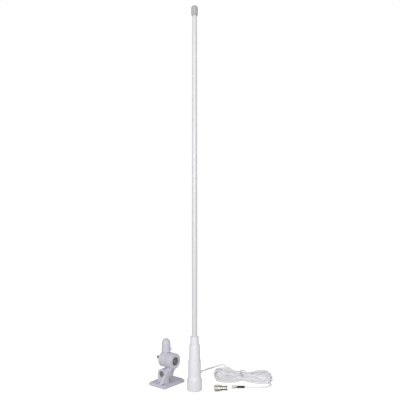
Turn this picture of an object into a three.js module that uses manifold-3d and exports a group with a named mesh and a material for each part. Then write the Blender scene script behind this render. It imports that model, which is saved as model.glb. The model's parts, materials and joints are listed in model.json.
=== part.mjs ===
// A marine VHF omnidirectional whip antenna with its four-way ratchet mount, its coaxial cable
// wound in a tied hank, the connector on the cable's end and the loose adapter for the radio.
// Millimetres, +X right, +Y back, +Z up. The origin is the middle of the mount's underside.

import * as THREE from 'three';
import { mergeGeometries, mergeVertices } from 'three/addons/utils/BufferGeometryUtils.js';
import Module from 'manifold-3d';

const wasm = await Module();
wasm.setup();

// ------------------------------------------------------------------ shared clearances and rounds
const GAP = 0.3; // clearance between neighbouring pieces
const ROUND = 28; // sides of a large round
const SMALL_ROUND = 16; // sides of a small round
const STEP_UP = 0.2; // height that a piece on its side keeps above the floor
const OVERCUT = 1; // how far a cutter or a buried end reaches past a face
const WELD = 1e-4; // distance below which two corners are one

// ------------------------------------------------------------------ whip antenna
const ANTENNA_PLACE = [90, -60]; // antenna axis from the mount's middle
const ANTENNA_HEIGHT = 1200;
const WHIP_BOTTOM_RADIUS = 8.75;
const WHIP_TOP_RADIUS = 7.5;
const WHIP_WALL = 2;
const WHIP_SEAT = 60; // depth of the whip's socket in the ferrule
const TIP_HEIGHT = 32;
const TIP_RADIUS = 10.25;
const TIP_LIP = 1; // flat width of the tip's mouth
const TIP_FLARE = 4.9; // height of the tip's flared mouth
const TIP_CROWN = 8; // height of the tip's rounded top
const TIP_ROOF = 14; // solid height over the whip's end

const COLLAR_HEIGHT = 33;
const COLLAR_RADIUS = 23.5;
const COLLAR_EDGE = 1.4;
const COLLAR_FOOT = 3.5;
const COLLAR_SIDES = 48;
const COLLAR_GRIPS = 16;
const GRIP_SIDES = 8;
const GRIP_RADIUS = 2.6;
const GRIP_DEPTH = 1.1;
const STUD_RADIUS = 12.5; // 1 inch - 14 thread, under its crest
const THREAD_SLACK = 0.6;
const SOCKET_DEPTH = 20;
const SPIGOT_RADIUS = 16.3;
const RETAINER_WIDTH = 2;
const RETAINER_BITE = 1.7;
const RETAINER_RISE = 5; // from the socket's end to the retaining ring
const SEAL_HEIGHT = 1.8;
const SEAL_BORE = 6;

const FLARE_TOP = 44;
const FLARE_STEPS = 4;
const FERRULE_STAGES = [
  // length and the radii of its lower and upper end, of the three stages from the flare up
  { length: 48, lower: 19.9, upper: 19.7 },
  { length: 50, lower: 18, upper: 16.45 },
  { length: 25, lower: 13.2, upper: 13.1 },
];
const STEP_EDGE = 0.6;
const CHAMBER_RADIUS = 8;
const CHAMBER_FLOOR = 36;

const COIL_FORMER_LENGTH = 84;
const COIL_FORMER_RADIUS = 4.6;
const COIL_FLANGE = 4;
const COIL_THICKNESS = 1;
const CRIMP_LENGTH = 14;
const CRIMP_RADIUS = 5.5;
const ROD_RADIUS = 1.6;
const ROD_HEADROOM = 20; // from the rod's top to the whip's end
const DISC_HEIGHTS = [400, 640, 880, 1120];
const DISC_THICKNESS = 6;

// ------------------------------------------------------------------ coaxial cable
const CABLE_RADIUS = 2.5;
const CABLE_SIDES = 10;
const INNER_STEPS = 30; // lengths that the inner coax is divided in
const LEAD_STEPS = 16;
const TAIL_STEPS = 14;
const BEND_STEPS = 4;
const EXIT_HEIGHT = 49.5;
const EXIT_AZIMUTH = THREE.MathUtils.degToRad(50);
const EXIT_BEND = 12;
const RELIEF_RADIUS = 4.3;
const RELIEF_FLANGE_RADIUS = 5.5;
const RELIEF_TIP_RADIUS = 3.5;
const RELIEF_FLANGE = 2;
const RELIEF_SHOULDER = 1; // length of the taper behind the flange
const RELIEF_START = 12.5; // inner end, from the antenna axis
const RELIEF_END = 40; // outer end, from the antenna axis
const LEAD_STRAIGHT = 4; // straight start of the lead after the strain relief

// Route of the free lead after the strain relief, from the antenna axis: down to the hank.
const LEAD_ROUTE = [
  [31.2, 38, 49.2],
  [33.6, 45, 47.8],
  [35.3, 56, 45],
  [37.6, 70, 41.4],
  [41.2, 88, 36.8],
  [45.2, 106, 32.4],
  [49.4, 124, 28],
  [53.5, 140, 23.9],
  [56.8, 154, 20.6],
  [59.7, 165.4, 17.8],
];
const HANK_ENTRY = [63.2, 172.3, 16.4];
const HANK_OUTLINE = [
  [64, 130],
  [66, 172],
  [80, 197],
  [103, 203],
  [129, 180],
  [150, 145],
  [170, 141],
  [200, 150],
  [236, 165],
  [255, 150],
  [258, 105],
  [248, 62],
  [230, 52],
  [200, 66],
  [170, 80],
  [150, 82],
  [125, 73],
  [95, 66],
  [72, 80],
];
const HANK_BOTTOM = 1.7;
const HANK_TOP = 21.5;
const TIE_PLACE = [156, 113]; // middle of the waist
const TIE_WIDTH = 5;
const TIE_THICKNESS = 1.2;
const TIE_SPAN = 67; // inside of the tie across the waist

// Route of the tail from the hank's near right side to the connector, from the antenna axis.
const TAIL_START = [240.2, 54.9, 2.6];
const TAIL_ROUTE = [
  [242.3, 51.1, 2.6],
  [243.9, 44.8, 2.6],
  [243.2, 37.2, 2.6],
  [239, 29.8, 2.6],
  [231.6, 23.2, 2.6],
  [222, 18, 2.6],
  [208, 14.8, 2.6],
  [192, 14, 2.7],
  [176, 14, 3.4],
];
const CONNECTOR_PLACE = [157.2, 14]; // cable end of the connector's sleeve
const RUN_IN = 9; // straight end of the tail before the sleeve

// ------------------------------------------------------------------ cable connector and adapter
const SLEEVE_LENGTH = 24;
const SLEEVE_RADIUS = 3.8;
const SLEEVE_WALL = 0.8;
const CONNECTOR_RADIUS = 4.5;
const CONNECTOR_BORE = 2.7;
const CONNECTOR_REAR = 5;
const CONNECTOR_REAR_RADIUS = 3.96;
const CONNECTOR_GROOVE = 2.2;
const CONNECTOR_NUT = 9;
const CONNECTOR_FLOOR = 5; // solid length behind the connector's bore
const CONTACT_RADIUS = 0.65;
const CONTACT_SIDES = 10;
const CONTACT_INSET = 1; // from the connector's mouth back to its pin
const INSULATOR_LENGTH = 6;

const ADAPTER_PLACE = [62, -10]; // radio end of the adapter
const NUT_RADIUS = 9.6;
const NUT_BORE = 8.1;
const NUT_LENGTH = 18;
const NUT_LIP = 2;
const NUT_LIP_BORE = 6.7;
const NUT_FLUTES = 24;
const FLUTE_DEPTH = 0.45;
const FLUTE_SIDES = 4;
const NUT_EDGE = 0.6;
const PLUG_RADIUS = 6;
const PLUG_BORE = 4.6;
const PLUG_INSET = 2; // from the nut's mouth back to the plug's shell
const SHOULDER_RADIUS = 7.7;
const SHOULDER_LENGTH = 3;
const ADAPTER_TAIL = 22;
const ADAPTER_RADIUS = 7.4;
const ADAPTER_WAIST_RADIUS = 6.5;
const ADAPTER_COLLAR = 5.94; // length of the wider part beside the nut
const ADAPTER_BAND = 4.4; // length of the wider part at the socket
const ADAPTER_BORE = 4.9;
const ADAPTER_SOCKET = 9;
const PIN_RADIUS = 2;
const PIN_HOLD = 12; // length of the pin in its insulator
const PIN_TIP_STEPS = 3;
const INSULATOR_INSET = 1; // from the plug's mouth back to its insulator

// ------------------------------------------------------------------ ratchet mount
// In the mount's own frame +X points along the upper pivot and +Y along the lower pivot.
const MOUNT_YAW = THREE.MathUtils.degToRad(-40);
const PLATE_WIDTH = 70;
const PLATE_LENGTH = 98;
const PLATE_HEIGHT = 10;
const PLATE_STEP = 6.5; // height of the plate's outer edge
const PLATE_INSET = 3;
const PLATE_CORNER = 5;
const SCREW_SPACING = [50, 78];
const SCREW_RADIUS = 3.5;
const SCREW_HEAD_RADIUS = 6.5;

const LOWER_PIVOT_HEIGHT = 35;
const UPPER_PIVOT_HEIGHT = 78;
const BARREL_RADIUS = 17;
const DRUM_RADIUS = 24.5;
const EAR_FRONT = -25;
const EAR_BACK = -11;
const BARREL_BACK = 14;
const GUSSET = { left: 8, right: 19, top: 46.5, foot: -46, crest: -16 };

const SEAM = 9.3; // face of the head, along the upper pivot
const HEAD_CHEEK = 0.5; // wall on each side of the stud's foot
const HEAD_LENGTH = 2 * (STUD_RADIUS + HEAD_CHEEK);
const DRUM_END = 37;
const DRUM_CHAMFER = 1.5;
const LEG_FRONT = -10;
const LEG_BACK = 11;
const LEG_ROOM = 1.2; // from the leg's shoulder to the head's drum
const LEG_INSET = 1; // from the barrel's side to the leg's
const LEG_FLANK = 34; // outer side of the leg, along the upper pivot
const LEG_SLOPE = 7; // rise of the leg's shoulder from inside to outside

const TOOTH_COUNT = 24;
const TOOTH_WIDTH = 1.9;
const TOOTH_DEPTH = 1.2;
const TOOTH_INNER_RADIUS = 8;
const TOOTH_RIM = 2.2;
const TOOTH_PROUD = 0.01; // how far a tooth's cutter stands over the face

const BOLT_RADIUS = 5;
const BOLT_HEAD_RADIUS = 8.7;
const BOLT_HEAD_HEIGHT = 6.4;
const NUT_HEIGHT = 8;
const WASHER_RADIUS = 9.4;
const WASHER_HEIGHT = 1.6;
const SMALL_RECESS_RADIUS = 10;
const LARGE_RECESS_RADIUS = 12;
const EAR_RECESS = 8.5;
const BARREL_RECESS = 9.5;
const DRUM_RECESS = 10;
const HEAD_RECESS = 5;
const LOWER_BOLT_SPARE = 3; // length past its nut
const UPPER_BOLT_SPARE = 20;

const STUD_LENGTH = 29;
const STUD_CHAMFER = 2.5;
const CAP_WALL = 1.7;
const CAP_DRAFT = 0.6; // how much narrower the cap's shoulder is than its mouth
const CAP_RADIUS = STUD_RADIUS + GAP + CAP_WALL;
const CAP_SHOULDER_RADIUS = CAP_RADIUS - CAP_DRAFT;
const CAP_SIDE = 26.5;
const CAP_DOME = 15;
const CAP_SEAT = 1; // from the drum's crest to the cap's mouth
const TAB_REACH = 3;
const TAB_WIDTH = 6;
const TAB_HEIGHT = 9;

// ------------------------------------------------------------------ finishes
const finish = (color, roughness, metalness) =>
  new THREE.MeshStandardMaterial({ color, roughness, metalness });

const WHITE_GLOSS = finish(0xe8e8ee, 0.35, 0);
const WHITE_RADOME = finish(0xe6e6ea, 0.3, 0);
const GREY_NYLON = finish(0xcfcddb, 0.5, 0);
const WHITE_JACKET = finish(0xdcdce4, 0.45, 0);
const BLACK_STEEL = finish(0x22242a, 0.4, 0.8);
const BLACK_SLEEVE = finish(0x0c0c0d, 0.5, 0);
const BLACK_RUBBER = finish(0x1a1a1c, 0.8, 0);
const NICKEL = finish(0xc9c6ba, 0.25, 1);
const BRASS = finish(0xc9a14a, 0.3, 1);
const COPPER = finish(0xb8682e, 0.35, 1);
const PTFE = finish(0xf2f0ea, 0.6, 0);
const FOAM = finish(0xe9e4d4, 0.9, 0);

// ------------------------------------------------------------------ solid tools
/** Revolves [radius, height] points about Z; the outline runs anticlockwise, axis on its left. */
function lathed(profile, sides = ROUND) {
  const points = profile.map(([radius, height]) => new THREE.Vector2(radius, height));
  return new THREE.LatheGeometry(points, sides).rotateX(Math.PI / 2);
}

/** Outline points of a rounded top, from its rim up to the axis. */
function dome(radius, rise, from, steps = 5) {
  return Array.from({ length: steps + 1 }, (_, i) => {
    const turn = (Math.PI * i) / (2 * steps);
    return [i === steps ? 0 : radius * Math.cos(turn), from + rise * Math.sin(turn)];
  });
}

function bar(radius, from, to, sides = ROUND) {
  return lathed([[0, from], [radius, from], [radius, to], [0, to]], sides);
}

function ring(bore, radius, from, to, sides = ROUND) {
  return lathed([[bore, from], [radius, from], [radius, to], [bore, to], [bore, from]], sides);
}

/** A box between two corners. */
function block([x0, y0, z0], [x1, y1, z1]) {
  const box = new THREE.BoxGeometry(x1 - x0, y1 - y0, z1 - z0);
  return box.translate((x0 + x1) / 2, (y0 + y1) / 2, (z0 + z1) / 2);
}

function extruded(shape, depth) {
  return new THREE.ExtrudeGeometry(shape, { depth, bevelEnabled: false, curveSegments: 6 });
}

/** A shape drawn in Y and Z, extruded along X. */
function acrossX(shape, from, to) {
  return extruded(shape, to - from).rotateX(Math.PI / 2).rotateZ(Math.PI / 2).translate(from, 0, 0);
}

/** A shape drawn in X and Z, extruded along Y. */
function acrossY(shape, from, to) {
  return extruded(shape, to - from).rotateX(Math.PI / 2).translate(0, to, 0);
}

function polygon(corners) {
  return new THREE.Shape(corners.map(([x, y]) => new THREE.Vector2(x, y)));
}

/** A hexagonal bar along Z, with a bore when one is given. */
function hexBar(cornerRadius, from, to, bore = 0) {
  const prism = new THREE.CylinderGeometry(cornerRadius, cornerRadius, to - from, 6, 1);
  prism.rotateX(Math.PI / 2).translate(0, 0, (from + to) / 2);
  return bore > 0 ? cut(prism, bar(bore, from - OVERCUT, to + OVERCUT, SMALL_ROUND)) : prism;
}

function roundedRectangle(width, length, corner) {
  const [x, y] = [width / 2, length / 2];
  const shape = new THREE.Shape();
  shape.moveTo(-x + corner, -y);
  shape.lineTo(x - corner, -y);
  shape.absarc(x - corner, -y + corner, corner, -Math.PI / 2, 0);
  shape.lineTo(x, y - corner);
  shape.absarc(x - corner, y - corner, corner, 0, Math.PI / 2);
  shape.lineTo(-x + corner, y);
  shape.absarc(-x + corner, y - corner, corner, Math.PI / 2, Math.PI);
  shape.lineTo(-x, -y + corner);
  shape.absarc(-x + corner, -y + corner, corner, Math.PI, 1.5 * Math.PI);
  return shape;
}

function toSolid(geometry) {
  const bare = new THREE.BufferGeometry();
  bare.setAttribute('position', geometry.getAttribute('position'));
  bare.setIndex(geometry.index);
  const merged = mergeVertices(bare, WELD);
  const corners = merged.index.array;
  const triangles = [];
  for (let i = 0; i < corners.length; i += 3) {
    const [a, b, c] = corners.slice(i, i + 3);
    const pinched = a === b || b === c || c === a;
    if (!pinched) triangles.push(a, b, c);
  }
  return new wasm.Manifold(new wasm.Mesh({
    numProp: 3,
    vertProperties: Float32Array.from(merged.getAttribute('position').array),
    triVerts: Uint32Array.from(triangles),
  }));
}

function toGeometry(solid) {
  const mesh = solid.getMesh();
  const geometry = new THREE.BufferGeometry();
  geometry.setAttribute('position', new THREE.BufferAttribute(mesh.vertProperties, 3));
  geometry.setIndex(new THREE.BufferAttribute(mesh.triVerts, 1));
  return geometry;
}

function join(first, ...others) {
  return toGeometry(others.reduce((whole, piece) => whole.add(toSolid(piece)), toSolid(first)));
}

function cut(body, ...tools) {
  return toGeometry(tools.reduce((rest, tool) => rest.subtract(toSolid(tool)), toSolid(body)));
}

/** Copies of a geometry, turned evenly about Z and merged into one. */
function aroundAxis(geometry, count) {
  const turns = Array.from({ length: count }, (_, i) => (2 * Math.PI * i) / count);
  return mergeGeometries(turns.map((turn) => geometry.clone().rotateZ(turn)));
}

/** A round tube of solid section along a smooth curve through points. */
function cord(points, steps) {
  const turns = Array.from({ length: CABLE_SIDES }, (_, i) => (2 * Math.PI * i) / CABLE_SIDES);
  const rim = turns.map((turn) => [CABLE_RADIUS * Math.cos(turn), CABLE_RADIUS * Math.sin(turn)]);
  const path = new THREE.CatmullRomCurve3(points.map((p) => new THREE.Vector3(...p)));
  return new THREE.ExtrudeGeometry(polygon(rim), { steps, extrudePath: path, bevelEnabled: false });
}

/** Cutter for radial teeth in a face that lies at height 0 and looks along +Z. */
function toothCutter(rimRadius) {
  const half = TOOTH_WIDTH / 2;
  const groove = polygon([[-half, TOOTH_PROUD], [0, -TOOTH_DEPTH], [half, TOOTH_PROUD]]);
  const wedge = acrossY(groove, TOOTH_INNER_RADIUS, rimRadius - TOOTH_RIM);
  return aroundAxis(wedge, TOOTH_COUNT);
}

function piece(name, geometry, material) {
  const mesh = new THREE.Mesh(geometry, material);
  mesh.name = name;
  return mesh;
}

// ------------------------------------------------------------------ heights inside the antenna
const stageFloor = (index) =>
  FERRULE_STAGES.slice(0, index).reduce((height, { length }) => height + length, FLARE_TOP);
const NECK_TOP = stageFloor(FERRULE_STAGES.length);
const WHIP_FOOT = NECK_TOP - WHIP_SEAT + GAP;
const WHIP_END = ANTENNA_HEIGHT - TIP_ROOF;
const SPIGOT_BOTTOM = SOCKET_DEPTH + SEAL_HEIGHT + 2 * GAP;
const GROOVE_FROM = SOCKET_DEPTH + RETAINER_RISE;
const GROOVE_TO = GROOVE_FROM + RETAINER_WIDTH + 2 * GAP;
const COLLAR_BORE = SPIGOT_RADIUS + GAP;
const CRIMP_FROM = WHIP_FOOT + GAP;
const FORMER_FROM = CRIMP_FROM + CRIMP_LENGTH + GAP;
const FORMER_TO = FORMER_FROM + COIL_FORMER_LENGTH;

function whipRadius(height) {
  const share = (height - WHIP_FOOT) / (WHIP_END - WHIP_FOOT);
  return THREE.MathUtils.lerp(WHIP_BOTTOM_RADIUS, WHIP_TOP_RADIUS, share);
}

const whipBore = (height) => whipRadius(height) - WHIP_WALL;

// ------------------------------------------------------------------ whip and its radiator
function tipCap() {
  const mouth = ANTENNA_HEIGHT - TIP_HEIGHT;
  const socket = whipRadius(mouth) + GAP;
  const roof = WHIP_END + GAP;
  return lathed([
    [0, roof],
    [socket, roof],
    [socket, mouth],
    [socket + TIP_LIP, mouth],
    [TIP_RADIUS, mouth + TIP_FLARE],
    ...dome(TIP_RADIUS, TIP_CROWN, ANTENNA_HEIGHT - TIP_CROWN),
  ]);
}

function whipRadome() {
  const [foot, end] = [whipRadius(WHIP_FOOT), whipRadius(WHIP_END)];
  return lathed([
    [foot - WHIP_WALL, WHIP_FOOT],
    [foot, WHIP_FOOT],
    [end, WHIP_END],
    [end - WHIP_WALL, WHIP_END],
    [foot - WHIP_WALL, WHIP_FOOT],
  ]);
}

function coilFormer() {
  const flange = whipBore(FORMER_TO) - GAP;
  return lathed([
    [0, FORMER_FROM],
    [flange, FORMER_FROM],
    [flange, FORMER_FROM + COIL_FLANGE],
    [COIL_FORMER_RADIUS, FORMER_FROM + COIL_FLANGE],
    [COIL_FORMER_RADIUS, FORMER_TO - COIL_FLANGE],
    [flange, FORMER_TO - COIL_FLANGE],
    [flange, FORMER_TO],
    [0, FORMER_TO],
  ], SMALL_ROUND);
}

function matchingCoil() {
  const bore = COIL_FORMER_RADIUS + GAP;
  const [from, to] = [FORMER_FROM + COIL_FLANGE + GAP, FORMER_TO - COIL_FLANGE - GAP];
  return ring(bore, bore + COIL_THICKNESS, from, to, SMALL_ROUND);
}

function radiatorPieces() {
  const rod = bar(ROD_RADIUS, FORMER_TO + GAP, WHIP_END - ROD_HEADROOM, SMALL_ROUND);
  const discs = DISC_HEIGHTS.map((height, i) => {
    const rim = whipBore(height + DISC_THICKNESS) - GAP;
    const disc = ring(ROD_RADIUS + GAP, rim, height, height + DISC_THICKNESS, SMALL_ROUND);
    return piece(`centring_disc_${i + 1}`, disc, FOAM);
  });
  return [
    piece('coil_former', coilFormer(), PTFE),
    piece('matching_coil', matchingCoil(), COPPER),
    piece('radiator_rod', rod, BRASS),
    ...discs,
  ];
}

// ------------------------------------------------------------------ ferrule and swivel collar
/** Turns a piece built along +Z to run out of the ferrule's side, Z being the distance out. */
function outOfSide(geometry) {
  return geometry.rotateY(Math.PI / 2).rotateZ(EXIT_AZIMUTH).translate(0, 0, EXIT_HEIGHT);
}

function ferruleBody() {
  const flareFrom = COLLAR_HEIGHT + GAP;
  const waist = FERRULE_STAGES[0].lower;
  const drop = COLLAR_RADIUS - COLLAR_EDGE / 2 - waist;
  const flare = Array.from({ length: FLARE_STEPS }, (_, i) => [
    waist + (drop * (1 + Math.cos((Math.PI * i) / FLARE_STEPS))) / 2,
    THREE.MathUtils.lerp(flareFrom, FLARE_TOP, i / FLARE_STEPS),
  ]);
  const stages = FERRULE_STAGES.flatMap(({ length, lower, upper }, i) => {
    const [from, to] = [stageFloor(i), stageFloor(i) + length];
    return [[lower, from], [upper, to - STEP_EDGE], [upper - STEP_EDGE, to]];
  });
  const whipSocket = whipRadius(WHIP_FOOT) + GAP;
  const body = lathed([
    [0, SPIGOT_BOTTOM],
    [SPIGOT_RADIUS, SPIGOT_BOTTOM],
    [SPIGOT_RADIUS, GROOVE_FROM],
    [SPIGOT_RADIUS - RETAINER_BITE, GROOVE_FROM],
    [SPIGOT_RADIUS - RETAINER_BITE, GROOVE_TO],
    [SPIGOT_RADIUS, GROOVE_TO],
    [SPIGOT_RADIUS, flareFrom],
    ...flare,
    ...stages,
    [whipSocket, NECK_TOP],
    [whipSocket, WHIP_FOOT - GAP],
    [CHAMBER_RADIUS, WHIP_FOOT - GAP],
    [CHAMBER_RADIUS, CHAMBER_FLOOR],
    [0, CHAMBER_FLOOR],
  ]);
  const exit = bar(RELIEF_RADIUS + GAP, CHAMBER_RADIUS / 2, COLLAR_RADIUS, SMALL_ROUND);
  return cut(body, outOfSide(exit));
}

function swivelCollar() {
  const bore = STUD_RADIUS + THREAD_SLACK;
  const groove = COLLAR_BORE + RETAINER_BITE;
  const body = lathed([
    [bore, 0],
    [COLLAR_RADIUS - COLLAR_EDGE, 0],
    [COLLAR_RADIUS, COLLAR_FOOT],
    [COLLAR_RADIUS, COLLAR_HEIGHT - COLLAR_EDGE],
    [COLLAR_RADIUS - COLLAR_EDGE / 2, COLLAR_HEIGHT],
    [COLLAR_BORE, COLLAR_HEIGHT],
    [COLLAR_BORE, GROOVE_TO],
    [groove, GROOVE_TO],
    [groove, GROOVE_FROM],
    [COLLAR_BORE, GROOVE_FROM],
    [COLLAR_BORE, SOCKET_DEPTH],
    [bore, SOCKET_DEPTH],
    [bore, 0],
  ], COLLAR_SIDES);
  const grip = bar(GRIP_RADIUS, -OVERCUT, COLLAR_HEIGHT - 2 * COLLAR_EDGE, GRIP_SIDES);
  grip.translate(COLLAR_RADIUS + GRIP_RADIUS - GRIP_DEPTH, 0, 0);
  return cut(body, aroundAxis(grip, COLLAR_GRIPS));
}

function retainingRing() {
  const inner = SPIGOT_RADIUS - RETAINER_BITE + GAP;
  const outer = COLLAR_BORE + RETAINER_BITE - GAP;
  return ring(inner, outer, GROOVE_FROM + GAP, GROOVE_TO - GAP);
}

function strainRelief() {
  const bore = CABLE_RADIUS + GAP;
  const flange = FERRULE_STAGES[0].lower + GAP;
  return outOfSide(lathed([
    [bore, RELIEF_START],
    [RELIEF_RADIUS, RELIEF_START],
    [RELIEF_RADIUS, flange],
    [RELIEF_FLANGE_RADIUS, flange],
    [RELIEF_FLANGE_RADIUS, flange + RELIEF_FLANGE],
    [RELIEF_RADIUS, flange + RELIEF_FLANGE + RELIEF_SHOULDER],
    [RELIEF_TIP_RADIUS, RELIEF_END],
    [bore, RELIEF_END],
    [bore, RELIEF_START],
  ], SMALL_ROUND));
}

/** The fixed end of the coaxial cable: from the crimp down and out through the strain relief. */
function innerCoax() {
  const bendTop = EXIT_HEIGHT + EXIT_BEND;
  const crimpEnd = FORMER_FROM - GAP;
  const straight = [crimpEnd, (crimpEnd + bendTop) / 2, bendTop + CABLE_RADIUS].map((z) => [0, 0, z]);
  const bend = Array.from({ length: BEND_STEPS + 1 }, (_, i) => {
    const turn = (Math.PI * i) / (2 * BEND_STEPS);
    return [EXIT_BEND * (1 - Math.cos(turn)), 0, bendTop - EXIT_BEND * Math.sin(turn)];
  });
  const out = [EXIT_BEND + CABLE_RADIUS, RELIEF_END].map((x) => [x, 0, EXIT_HEIGHT]);
  return cord([...straight, ...bend, ...out], INNER_STEPS).rotateZ(EXIT_AZIMUTH);
}

function antennaPieces() {
  const crimpTo = CRIMP_FROM + CRIMP_LENGTH;
  const crimp = ring(CABLE_RADIUS + GAP, CRIMP_RADIUS, CRIMP_FROM, crimpTo, SMALL_ROUND);
  const seal = ring(SEAL_BORE, SPIGOT_RADIUS, SOCKET_DEPTH + GAP, SPIGOT_BOTTOM - GAP);
  return [
    piece('tip_cap', tipCap(), WHITE_GLOSS),
    piece('whip_radome', whipRadome(), WHITE_RADOME),
    ...radiatorPieces(),
    piece('crimp_sleeve', crimp, BRASS),
    piece('inner_coax', innerCoax(), WHITE_JACKET),
    piece('ferrule_body', ferruleBody(), WHITE_GLOSS),
    piece('swivel_collar', swivelCollar(), WHITE_GLOSS),
    piece('retaining_ring', retainingRing(), BRASS),
    piece('seal_washer', seal, BLACK_RUBBER),
    piece('strain_relief', strainRelief(), WHITE_JACKET),
  ];
}

// ------------------------------------------------------------------ free cable, hank and tie
function leadPoints() {
  const [x, y] = [Math.cos(EXIT_AZIMUTH), Math.sin(EXIT_AZIMUTH)];
  const out = (reach) => [reach * x, reach * y, EXIT_HEIGHT];
  return [out(RELIEF_END + GAP), out(RELIEF_END + LEAD_STRAIGHT), ...LEAD_ROUTE, HANK_ENTRY];
}

function tailPoints() {
  const [x, y] = CONNECTOR_PLACE;
  const height = CONNECTOR_RADIUS + STEP_UP;
  return [TAIL_START, ...TAIL_ROUTE, [x + RUN_IN, y, height - GAP], [x + GAP, y, height]];
}

function coaxHank() {
  const outline = HANK_OUTLINE.map(([x, y]) => new THREE.Vector3(x, y, 0));
  const curve = new THREE.CatmullRomCurve3(outline, true);
  const corners = curve.getPoints(HANK_OUTLINE.length * 2).slice(0, -1);
  const shape = polygon(corners.map(({ x, y }) => [x, y]));
  return extruded(shape, HANK_TOP - HANK_BOTTOM).translate(0, 0, HANK_BOTTOM);
}

function hankTie() {
  const height = HANK_TOP - HANK_BOTTOM + 2 * GAP;
  const grow = 2 * TIE_THICKNESS;
  const shape = roundedRectangle(TIE_SPAN + grow, height + grow, 2 * TIE_THICKNESS);
  shape.holes.push(roundedRectangle(TIE_SPAN, height, TIE_THICKNESS));
  const band = acrossX(shape, -TIE_WIDTH / 2, TIE_WIDTH / 2);
  return band.translate(...TIE_PLACE, (HANK_TOP + HANK_BOTTOM) / 2);
}

function cablePieces() {
  return [
    piece('coax_lead', cord(leadPoints(), LEAD_STEPS), WHITE_JACKET),
    piece('coax_hank', coaxHank(), WHITE_JACKET),
    piece('hank_tie', hankTie(), WHITE_JACKET),
    piece('coax_tail', cord(tailPoints(), TAIL_STEPS), WHITE_JACKET),
  ];
}

// ------------------------------------------------------------------ connector on the cable's end
// Built along +Z from the cable end of the sleeve to the connector's mouth.
const CONNECTOR_FROM = SLEEVE_LENGTH + GAP;
const CONNECTOR_MOUTH = CONNECTOR_FROM + CONNECTOR_REAR + CONNECTOR_GROOVE + CONNECTOR_NUT;

function connectorBody() {
  const grooveFrom = CONNECTOR_FROM + CONNECTOR_REAR;
  const grooveTo = grooveFrom + CONNECTOR_GROOVE;
  const grooveRadius = (CONNECTOR_BORE + CONNECTOR_REAR_RADIUS) / 2;
  const floor = CONNECTOR_FROM + CONNECTOR_FLOOR;
  return lathed([
    [0, CONNECTOR_FROM],
    [CONNECTOR_REAR_RADIUS, CONNECTOR_FROM],
    [CONNECTOR_REAR_RADIUS, grooveFrom],
    [grooveRadius, grooveFrom],
    [grooveRadius, grooveTo],
    [CONNECTOR_RADIUS, grooveTo],
    [CONNECTOR_RADIUS, CONNECTOR_MOUTH],
    [CONNECTOR_BORE, CONNECTOR_MOUTH],
    [CONNECTOR_BORE, floor],
    [0, floor],
  ], SMALL_ROUND);
}

function connectorPieces() {
  const sleeveBore = SLEEVE_RADIUS - SLEEVE_WALL;
  const inside = CONNECTOR_FROM + CONNECTOR_FLOOR + GAP;
  const [inner, outer] = [CONTACT_RADIUS + GAP, CONNECTOR_BORE - GAP];
  const insulator = ring(inner, outer, inside, inside + INSULATOR_LENGTH, SMALL_ROUND);
  const contact = bar(CONTACT_RADIUS, inside, CONNECTOR_MOUTH - CONTACT_INSET, CONTACT_SIDES);
  const sleeve = ring(sleeveBore, SLEEVE_RADIUS, 0, SLEEVE_LENGTH, SMALL_ROUND);
  return [
    piece('heat_shrink', sleeve, BLACK_SLEEVE),
    piece('connector_crimp', bar(sleeveBore - GAP, 0, SLEEVE_LENGTH, SMALL_ROUND), NICKEL),
    piece('connector_body', connectorBody(), NICKEL),
    piece('connector_insulator', insulator, PTFE),
    piece('connector_pin', contact, BRASS),
  ];
}

// ------------------------------------------------------------------ loose adapter for the radio
// Built along +Z from the mouth of the coupling nut to the socket for the cable's connector.
const ADAPTER_LIP = NUT_LENGTH - NUT_LIP;
const ADAPTER_REAR = NUT_LENGTH + GAP;
const ADAPTER_END = ADAPTER_REAR + ADAPTER_TAIL - GAP;

function couplingNut() {
  const body = lathed([
    [NUT_BORE, 0],
    [NUT_RADIUS - NUT_EDGE, 0],
    [NUT_RADIUS, NUT_EDGE],
    [NUT_RADIUS, NUT_LENGTH - NUT_EDGE],
    [NUT_RADIUS - NUT_EDGE, NUT_LENGTH],
    [NUT_LIP_BORE, NUT_LENGTH],
    [NUT_LIP_BORE, ADAPTER_LIP],
    [NUT_BORE, ADAPTER_LIP],
    [NUT_BORE, 0],
  ]);
  const flute = bar(2 * FLUTE_DEPTH, 2 * NUT_EDGE, NUT_LENGTH - 2 * NUT_EDGE, FLUTE_SIDES);
  flute.translate(NUT_RADIUS + FLUTE_DEPTH, 0, 0);
  return cut(body, aroundAxis(flute, NUT_FLUTES));
}

function adapterBody() {
  const shoulderTo = ADAPTER_LIP - GAP;
  const neck = NUT_LIP_BORE - GAP;
  const collarTo = ADAPTER_REAR + ADAPTER_COLLAR;
  const bandFrom = ADAPTER_END - ADAPTER_BAND;
  const pinBore = PIN_RADIUS + GAP;
  const plugFloor = PLUG_INSET + PIN_HOLD;
  const socketFloor = ADAPTER_END - ADAPTER_SOCKET;
  return lathed([
    [PLUG_BORE, PLUG_INSET],
    [PLUG_RADIUS, PLUG_INSET],
    [PLUG_RADIUS, shoulderTo - SHOULDER_LENGTH],
    [SHOULDER_RADIUS, shoulderTo - SHOULDER_LENGTH],
    [SHOULDER_RADIUS, shoulderTo],
    [neck, shoulderTo],
    [neck, ADAPTER_REAR],
    [ADAPTER_RADIUS, ADAPTER_REAR],
    [ADAPTER_RADIUS, collarTo],
    [ADAPTER_WAIST_RADIUS, collarTo],
    [ADAPTER_WAIST_RADIUS, bandFrom],
    [ADAPTER_RADIUS, bandFrom],
    [ADAPTER_RADIUS, ADAPTER_END],
    [ADAPTER_BORE, ADAPTER_END],
    [ADAPTER_BORE, socketFloor],
    [pinBore, socketFloor],
    [pinBore, plugFloor],
    [PLUG_BORE, plugFloor],
    [PLUG_BORE, PLUG_INSET],
  ]);
}

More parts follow.
